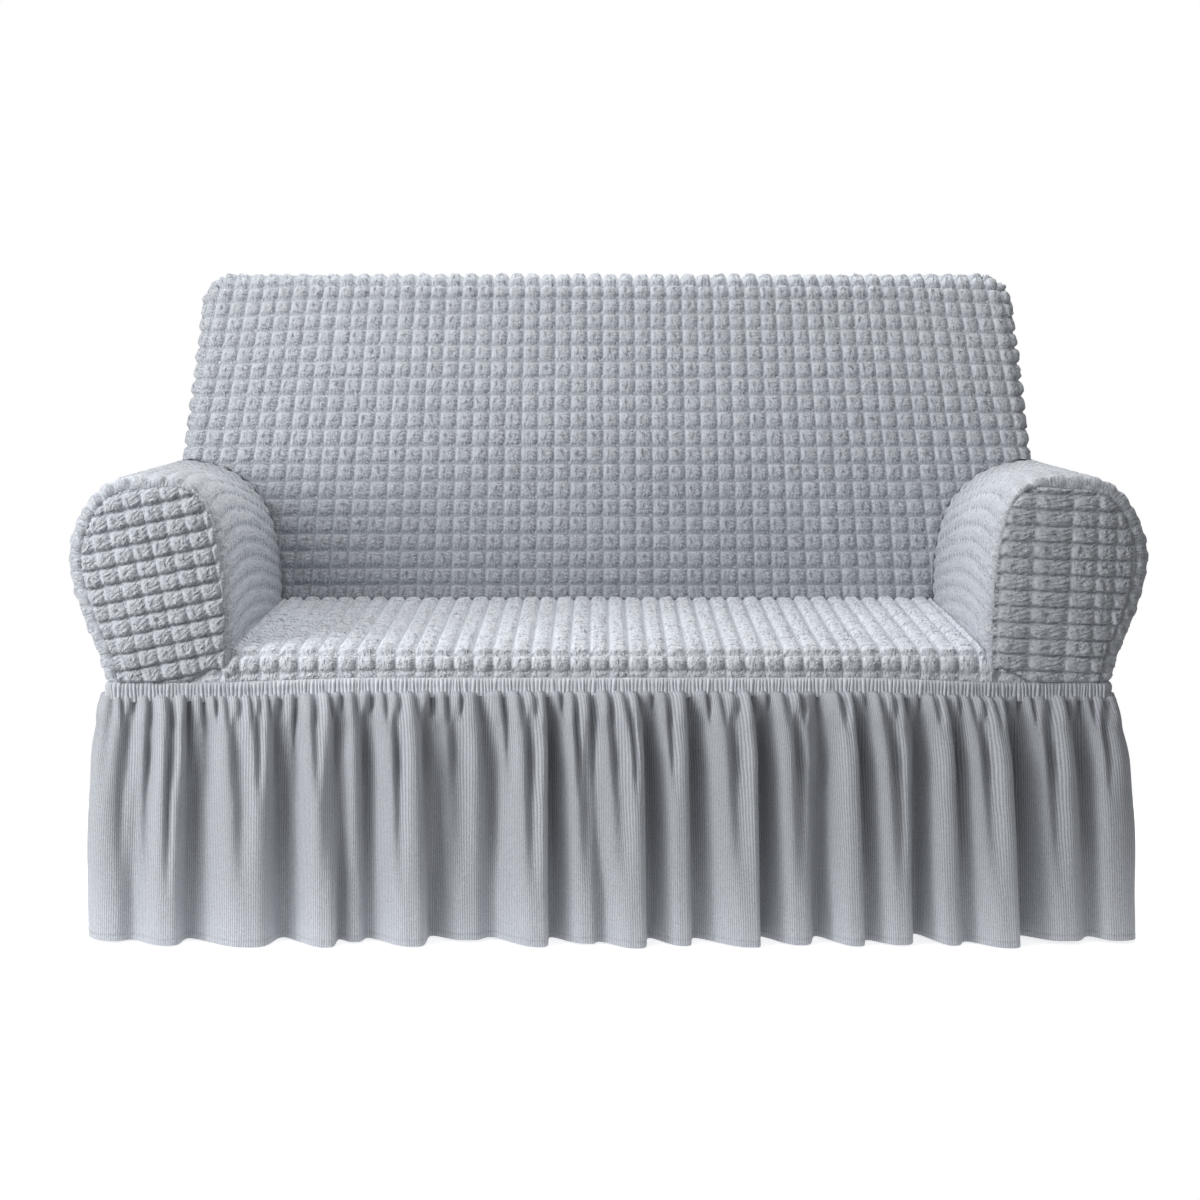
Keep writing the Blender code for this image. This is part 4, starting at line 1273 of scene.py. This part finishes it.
@dataclass
class Skirt:
    """Gathered widths of plain knit: small gathers under the heading merge into broad folds.

    hem_folds gives the place, stand-out and lift of each ridge and valley of the front's hem,
    and front_rows the ridges of the smaller folds above it. The tones say how much the folds'
    height, the top edge and the hem's thread count in the knit's colour: the folds' height paints
    a highlight on their ridges and shade in their valleys, the top edge is painted lighter against
    the heading's shade, and the hem's thread is a darker line.
    """

    finish: bpy.types.Material
    spread: float = 0.016
    clearance: float = 0.001
    end_lift: float = 0.006
    overhang: float = 0.35
    plump: float = 1.9
    growth: float = 0.4
    overlap: float = 0.0030
    tuck: float = 0.003
    end_hold: float = 0.012
    raggedness: float = 0.0022
    step_out: float = 0.0020
    lift_share: float = 0.6
    hem_depth: float = 0.0007
    hem_crease: float = 0.972
    hem_thread: float = 0.975
    hem_width: float = 0.004
    thread_tone: float = 0.6
    hem_tone: float = 16.0
    fold_tone: float = 55.0
    top_tone: float = 0.4
    cut_length: float = 0.36
    hem_folds: tuple[tuple[float, float, float], ...] = (
        (-0.699, 0.004, 0.006), (-0.666, -0.010, 0.004), (-0.623, 0.022, 0.002),
        (-0.585, -0.020, 0.003), (-0.511, 0.026, 0.000), (-0.452, -0.024, 0.004),
        (-0.405, 0.028, 0.001), (-0.377, -0.012, 0.004), (-0.361, 0.004, 0.004),
        (-0.337, -0.018, 0.005), (-0.285, 0.026, 0.002), (-0.245, -0.028, 0.006),
        (-0.202, 0.000, 0.007), (-0.167, -0.018, 0.007), (-0.112, 0.026, 0.001),
        (-0.081, -0.024, 0.004), (-0.042, 0.018, 0.006), (-0.024, 0.002, 0.004),
        (0.020, 0.031, 0.000), (0.055, -0.022, 0.003), (0.089, 0.018, 0.000),
        (0.116, -0.020, 0.004), (0.182, 0.028, 0.001), (0.209, -0.028, 0.005),
        (0.249, 0.018, 0.002), (0.288, -0.026, 0.006), (0.323, 0.026, 0.003),
        (0.351, -0.008, 0.004), (0.388, 0.022, 0.004), (0.427, -0.030, 0.010),
        (0.456, 0.020, 0.002), (0.485, -0.004, 0.002), (0.533, 0.031, 0.000),
        (0.571, -0.030, 0.006), (0.620, 0.012, 0.009), (0.663, -0.018, 0.008),
        (0.690, 0.006, 0.007))
    front_rows: tuple[FoldRow, ...] = (
        FoldRow(Reach.GATHERS, 0.0058, (
            -0.707, -0.692, -0.680, -0.658, -0.632, -0.603, -0.580, -0.559, -0.547, -0.530,
            -0.511, -0.499, -0.485, -0.473, -0.450, -0.428, -0.402, -0.383, -0.368, -0.343,
            -0.323, -0.306, -0.286, -0.260, -0.237, -0.215, -0.201, -0.160, -0.136, -0.115,
            -0.098, -0.075, -0.058, -0.039, -0.011, 0.011, 0.030, 0.053, 0.070, 0.095, 0.130,
            0.147, 0.165, 0.189, 0.215, 0.234, 0.260, 0.279, 0.312, 0.334, 0.350, 0.371,
            0.390, 0.407, 0.428, 0.448, 0.465, 0.485, 0.499, 0.516, 0.531, 0.547, 0.568,
            0.589, 0.601, 0.632, 0.653, 0.670, 0.687, 0.706)),
        FoldRow(Reach.PLEATS, 0.0048, (
            -0.710, -0.694, -0.661, -0.631, -0.603, -0.580, -0.548, -0.509, -0.486, -0.451,
            -0.430, -0.403, -0.369, -0.319, -0.285, -0.239, -0.195, -0.156, -0.134, -0.099,
            -0.061, -0.040, -0.016, 0.016, 0.032, 0.070, 0.091, 0.146, 0.192, 0.240, 0.276,
            0.327, 0.368, 0.410, 0.464, 0.500, 0.534, 0.593, 0.630, 0.679, 0.701)),
        FoldRow(Reach.FLUTES, 0.0045, (
            -0.708, -0.663, -0.634, -0.611, -0.545, -0.495, -0.426, -0.368, -0.316, -0.285,
            -0.239, -0.189, -0.136, -0.102, -0.063, -0.015, 0.026, 0.088, 0.144, 0.192, 0.236,
            0.278, 0.326, 0.372, 0.411, 0.464, 0.499, 0.538, 0.593, 0.632, 0.691)))

    def ridge_profile(self, row: FoldRow, reach: float, along: Array) -> Array:
        """Height of a fold row: its depth up at each ridge and down halfway to the next.

        The depth is less where the ridges are close together.
        """
        ridges = np.array(row.ridges)
        valleys = 0.5 * (ridges[1:] + ridges[:-1])
        stops = np.sort(np.concatenate([[-reach - 0.02], ridges, valleys, [reach + 0.02]]))
        heights = np.isin(stops, ridges) * 2.0 - 1.0
        gaps = np.interp(along, ridges[1:], np.diff(ridges))
        size = np.clip(gaps / 0.022, 0.55, 1.3)
        return row.depth * size * eased_profile(stops, heights, along, self.plump)

    def seeded_rows(self, reach: float, seed: int, count: int) -> tuple[FoldRow, ...]:
        """Fold rows for a width that the photo hides, with fewer folds in each lower row."""
        draws = np.random.default_rng(seed)
        rows = []
        for like, share in zip(self.front_rows, (3.2, 2.0, 1.45)):
            steps = draws.uniform(0.7, 1.3, int(count * share))
            places = np.cumsum(steps) / steps.sum() * 2.0 * reach - reach
            rows.append(FoldRow(like.stretch, like.depth, tuple(float(x) for x in places[:-1])))
        return tuple(rows)

    def seeded_hem(self, low: float, high: float, seed: int,
                   count: int) -> tuple[tuple[float, float, float], ...]:
        """The solids' folds of a back or side width, from the same draws."""
        draws = np.random.default_rng(seed)
        steps = draws.uniform(0.6, 1.4, 2 * count)
        places = low + (high - low) * np.cumsum(steps)[:-1] / steps.sum()
        folds = []
        for number, across in enumerate(places):
            ridge = number % 2 == 0
            out = draws.uniform(0.014, 0.030) * (1.0 if ridge else -0.9)
            folds.append((float(across), out, 0.002 if ridge else 0.006))
        return tuple(folds)

    def make(self, node: str, line: Line, folds: Sequence[tuple[float, float, float]],
             rows: Sequence[FoldRow], depth_share: float, flare: tuple[float, float],
             faces_out: bool, step: float = 0.0024) -> None:
        """One width of the skirt.

        The cloth stands out of the heading's line by a flare that grows with the sine of the
        root of the drop, or more evenly at its ends, by the hem's folds, which grow with the
        drop to the power of growth, and by the rows of smaller folds. On the front and the back
        a ridge leans towards +X over the valley beyond it. Its top edge is tucked behind the
        heading.

        Args:
            node: the solid it replaces.
            line: the base's line it hangs from.
            folds: place, stand-out and lift of the hem's ridges and valleys.
            rows: the fold rows higher up.
            depth_share: how deep the hem's folds are, as a share.
            flare: how far the hem stands out at the width's ends and in its middle.
            faces_out: whether the grid faces out as it is made; if not, it is turned.
            step: the grid's step across.
        """
        reach = line.reach
        front = node == "skirt_front"
        count = int(2.0 * reach / step)
        along_line = np.linspace(-reach, reach, count + 1)
        drops = np.concatenate([np.linspace(0.0, 0.16, 17)[:-1], np.linspace(0.16, 0.96, 32)[:-1],
                                np.linspace(0.96, 1.0, 9)])
        along, drop = np.meshgrid(along_line, drops)
        x, y, out_x, out_y = line.at(along)
        stops = np.array([-reach] + [fold[0] for fold in folds] + [reach])
        outs = np.array([0.0] + [fold[1] for fold in folds] + [0.0]) * depth_share
        lifts = np.array([self.end_lift] + [fold[2] for fold in folds] + [self.end_lift])
        lift = self.clearance + self.lift_share * eased_profile(stops, lifts, along)
        grown = drop ** self.growth
        folded = eased_profile(stops, outs, along, self.plump) * grown
        # Painted light and shade: the folds' height makes ridge lighter on their ridges and darker
        # in their valleys
        ridge = 0.5 + self.hem_tone * folded / (0.6 + depth_share)
        for row in rows:
            more = self.ridge_profile(row, reach, along) * row.stretch.share(drop)
            folded = folded + more
            ridge = ridge + self.fold_tone * more
        hold = smooth((reach - np.abs(along)) / self.end_hold)
        folded = folded * hold
        # Painted highlight on the ridges and painted light just under the heading, painted shade in
        # the valleys, darker along the hem's thread
        ridge = np.clip(ridge, 0.0, 1.0) + self.top_tone * (1.0 - smooth(drop / 0.14))
        ridge = ridge - self.thread_tone * bell(drop - self.hem_thread, self.hem_width)
        near_end = smooth((np.abs(along) - 0.5 * reach) / (0.5 * reach))
        middle_flare = flare[1] * np.sin(math.pi / 2 * np.sqrt(drop))
        end_flare = flare[0] * np.sin(math.pi / 2 * np.minimum(drop / 0.72, 1.0) ** 1.1)
        stand = folded + blend(middle_flare, end_flare, near_end)
        recess = HEADING_RECESS * seat_share(along, front) * (1.0 - drop)
        crease = self.hem_depth * bell(drop - self.hem_crease, self.hem_width)
        stand = blend(-self.tuck, stand + self.step_out - crease, smooth(drop / 0.01)) - recess
        lowest = 0.9 * depth_share * 0.030 * grown
        sideways = self.overhang * hold * (folded + lowest) * np.abs(out_y)
        if isinstance(line, EndLine):
            half = BASE_HALF_WIDTH - line.corner
            across = np.clip(along / half, -1.0, 1.0)
            sideways = sideways + self.spread * drop * across * np.abs(out_y)
        ragged = self.raggedness * self.ridge_profile(rows[0], reach, along) / rows[0].depth
        top = heading_levels(along, front)[1] + self.overlap + ragged * hold
        z = blend(top, lift, drop)
        places = np.stack([x + stand * out_x + sideways, y + stand * out_y, z], axis=-1)
        lengths = np.linalg.norm(np.diff(places[-1], axis=0), axis=1)
        worn = np.concatenate([[0.0], np.cumsum(lengths)])
        cloth = np.stack([np.broadcast_to(worn, z.shape), z], -1)
        grid = Grid(places, cloth, ridge=ridge)
        piece = cloth_piece(f"{node}_cloth", grid if faces_out else grid.turned(), self.finish)
        dress(piece, node)


# ---- the set -------------------------------------------------------------------------------

@dataclass(frozen=True)
class Studio:
    """Camera, soft lights and a pale floor. A lamp is its name, place, width and power."""

    lens: float = 76.71
    camera_place: tuple[float, float, float] = (-0.012, -3.99, 0.885)
    pitch_down: float = 6.4
    target: tuple[float, float, float] = (0.0, 0.0, 0.5)
    ambient: float = 0.24
    floor_glow: float = 0.7
    floor_corners: tuple[tuple[float, float], ...] = ((-0.98, -0.62), (0.98, 0.60))
    lamps: tuple[tuple[str, tuple[float, float, float], float, float], ...] = (
        ("overhead", (0.0, -0.6, 3.2), 2.5, 15.0),
        ("beside", (-1.8, -1.6, 1.5), 1.0, 27.0),
        ("low", (-3.0, -1.8, 0.9), 1.0, 33.0),
        ("front", (-1.6, -3.0, 2.4), 1.5, 9.0),
        ("rear", (0.0, 1.2, 3.0), 2.5, 74.0))

    def make(self) -> None:
        """Sets up the whole studio."""
        scene = bpy.context.scene
        camera = bpy.data.cameras.new("camera")
        camera.lens = self.lens
        camera.sensor_width = 36.0
        camera.clip_end = 50.0
        stand = bpy.data.objects.new("camera", camera)
        stand.location = self.camera_place
        stand.rotation_euler = (math.radians(90.0 - self.pitch_down), 0.0, 0.0)
        scene.collection.objects.link(stand)
        scene.camera = stand
        scene.view_settings.view_transform = "Standard"
        for name, place, width, power in self.lamps:
            self.light(name, place, width, power)
        scene.world = self.daylight()
        self.floor()

    def daylight(self) -> bpy.types.World:
        """World that lights evenly by the ambient strength and is plain white to the camera."""
        world = bpy.data.worlds.new("daylight")
        world.use_nodes = True
        nodes, links = world.node_tree.nodes, world.node_tree.links
        strength = nodes.new("ShaderNodeMapRange")
        strength.inputs["To Min"].default_value = self.ambient
        links.new(nodes.new("ShaderNodeLightPath").outputs["Is Camera Ray"],
                  strength.inputs["Value"])
        links.new(strength.outputs["Result"], nodes["Background"].inputs["Strength"])
        nodes["Background"].inputs["Color"].default_value = (1.0, 1.0, 1.0, 1.0)
        return world

    def light(self, name: str, place: tuple[float, float, float], width: float,
              power: float) -> None:
        """Soft square light, aimed at the target."""
        lamp = bpy.data.lights.new(name, "AREA")
        lamp.shape = "SQUARE"
        lamp.size = width
        lamp.energy = power
        stand = bpy.data.objects.new(name, lamp)
        stand.location = place
        aim = Vector(self.target) - Vector(place)
        stand.rotation_euler = aim.to_track_quat("-Z", "Y").to_euler()
        bpy.context.scene.collection.objects.link(stand)

    def floor(self) -> None:
        """Pale floor that glows a little, so that it stays white around the cover."""
        material = Shader("pale_floor").finished({
            "Base Color": (0.86, 0.86, 0.86, 1.0), "Roughness": 0.9,
            "Emission Color": (1.0, 1.0, 1.0, 1.0), "Emission Strength": self.floor_glow})
        mesh = bpy.data.meshes.new("floor")
        (left, front), (right, rear) = self.floor_corners
        corners = [(left, front, 0.0), (right, front, 0.0), (right, rear, 0.0), (left, rear, 0.0)]
        mesh.from_pydata(corners, [], [(0, 1, 2, 3)])
        mesh.materials.append(material)
        floor = bpy.data.objects.new("floor", mesh)
        bpy.context.scene.collection.objects.link(floor)


# ---- the whole cover -----------------------------------------------------------------------

def main() -> None:
    """Builds the studio and every piece."""
    logging.basicConfig(level=logging.INFO, format="%(name)s: %(message)s")
    Studio().make()
    # The bubble cloth's copies differ in light colour and tone as painted light, each set to how
    # brightly its piece is lit: the seat's pressed copy is painted lightest and the arms' stretched
    # copy darker, and the back's is painted lighter high up and darker low down. The heading's
    # elastic light colour is in part painted light against the shade under the seat.
    bubble = BubbleFinish(light=(0.760, 0.796, 0.850, 1.0), tone=0.78, channel_tone=0.34,
                          painted_shade_slope=0.9).make()
    ribbed = BubbleFinish("bubble_cloth_stretched", tone=0.76, channel_tone=0.60, crossed=0.0,
                          slit_depth=0.0006, pucker_count=1.0, pucker_depth=0.0010,
                          crumple_depth=0.0028, crumple_scale=(5.0, 0.7), edge_tone=0.0,
                          edge_depth=0.0, grit=1.8).make()
    pressed = BubbleFinish("bubble_cloth_pressed", light=(0.780, 0.813, 0.866, 1.0), tone=0.90,
                           channel_tone=0.38, crossed=0.5, pucker_depth=0.0005,
                           slit_depth=0.0012, crumple_depth=0.0034, crumple_scale=(2.6, 1.6),
                           edge_tone=0.05).make()
    plump = BubbleFinish("bubble_cloth_plump", tone=0.84, channel_tone=0.42, skew=-0.55,
                         pucker_count=3.4, pucker_depth=0.0009).make()
    knit = KnitFinish("skirt_knit_finish", (0.530, 0.554, 0.596, 1.0),
                      (0.270, 0.284, 0.313, 1.0)).make()
    elastic = KnitFinish("heading_elastic_finish", (0.850, 0.885, 0.945, 1.0),
                         (0.440, 0.463, 0.506, 1.0), wale=0.0016, hollow=0.8).make()
    back = Back(bubble)
    back.make_inside()
    back.make_outside()
    Seat(pressed).make()
    for side, seed in ((Side.LEFT, 307), (Side.RIGHT, 311)):
        arm = Arm(plump, ribbed, side, seed)
        arm.make_wrap()
        arm.make_front()
    heading = Heading(elastic)
    heading.make("heading_front", FRONT_LINE, front=True, flip=False)
    heading.make("heading_back", BACK_LINE, front=False, flip=True)
    heading.make("heading_left", SideLine(Side.LEFT), front=False, flip=True)
    heading.make("heading_right", SideLine(Side.RIGHT), front=False, flip=False)
    skirt = Skirt(knit)
    skirt.make("skirt_front", FRONT_LINE, skirt.hem_folds, skirt.front_rows, 1.0,
               (0.026, 0.028), faces_out=True)
    reach = BACK_LINE.reach
    skirt.make("skirt_back", BACK_LINE, skirt.seeded_hem(-reach, reach, 5, 15),
               skirt.seeded_rows(reach, 55, 15), 0.85, (0.026, 0.028), faces_out=False,
               step=0.0035)
    for side, hem_seed, row_seed in ((Side.LEFT, 11, 61), (Side.RIGHT, 23, 67)):
        line = SideLine(side)
        skirt.make(f"skirt_{side.word}", line,
                   skirt.seeded_hem(-line.reach, line.reach, hem_seed, 9),
                   skirt.seeded_rows(line.reach, row_seed, 9), 0.4, (0.026, 0.016),
                   faces_out=side is Side.RIGHT, step=0.0035)


if __name__ == "__main__":
    main()
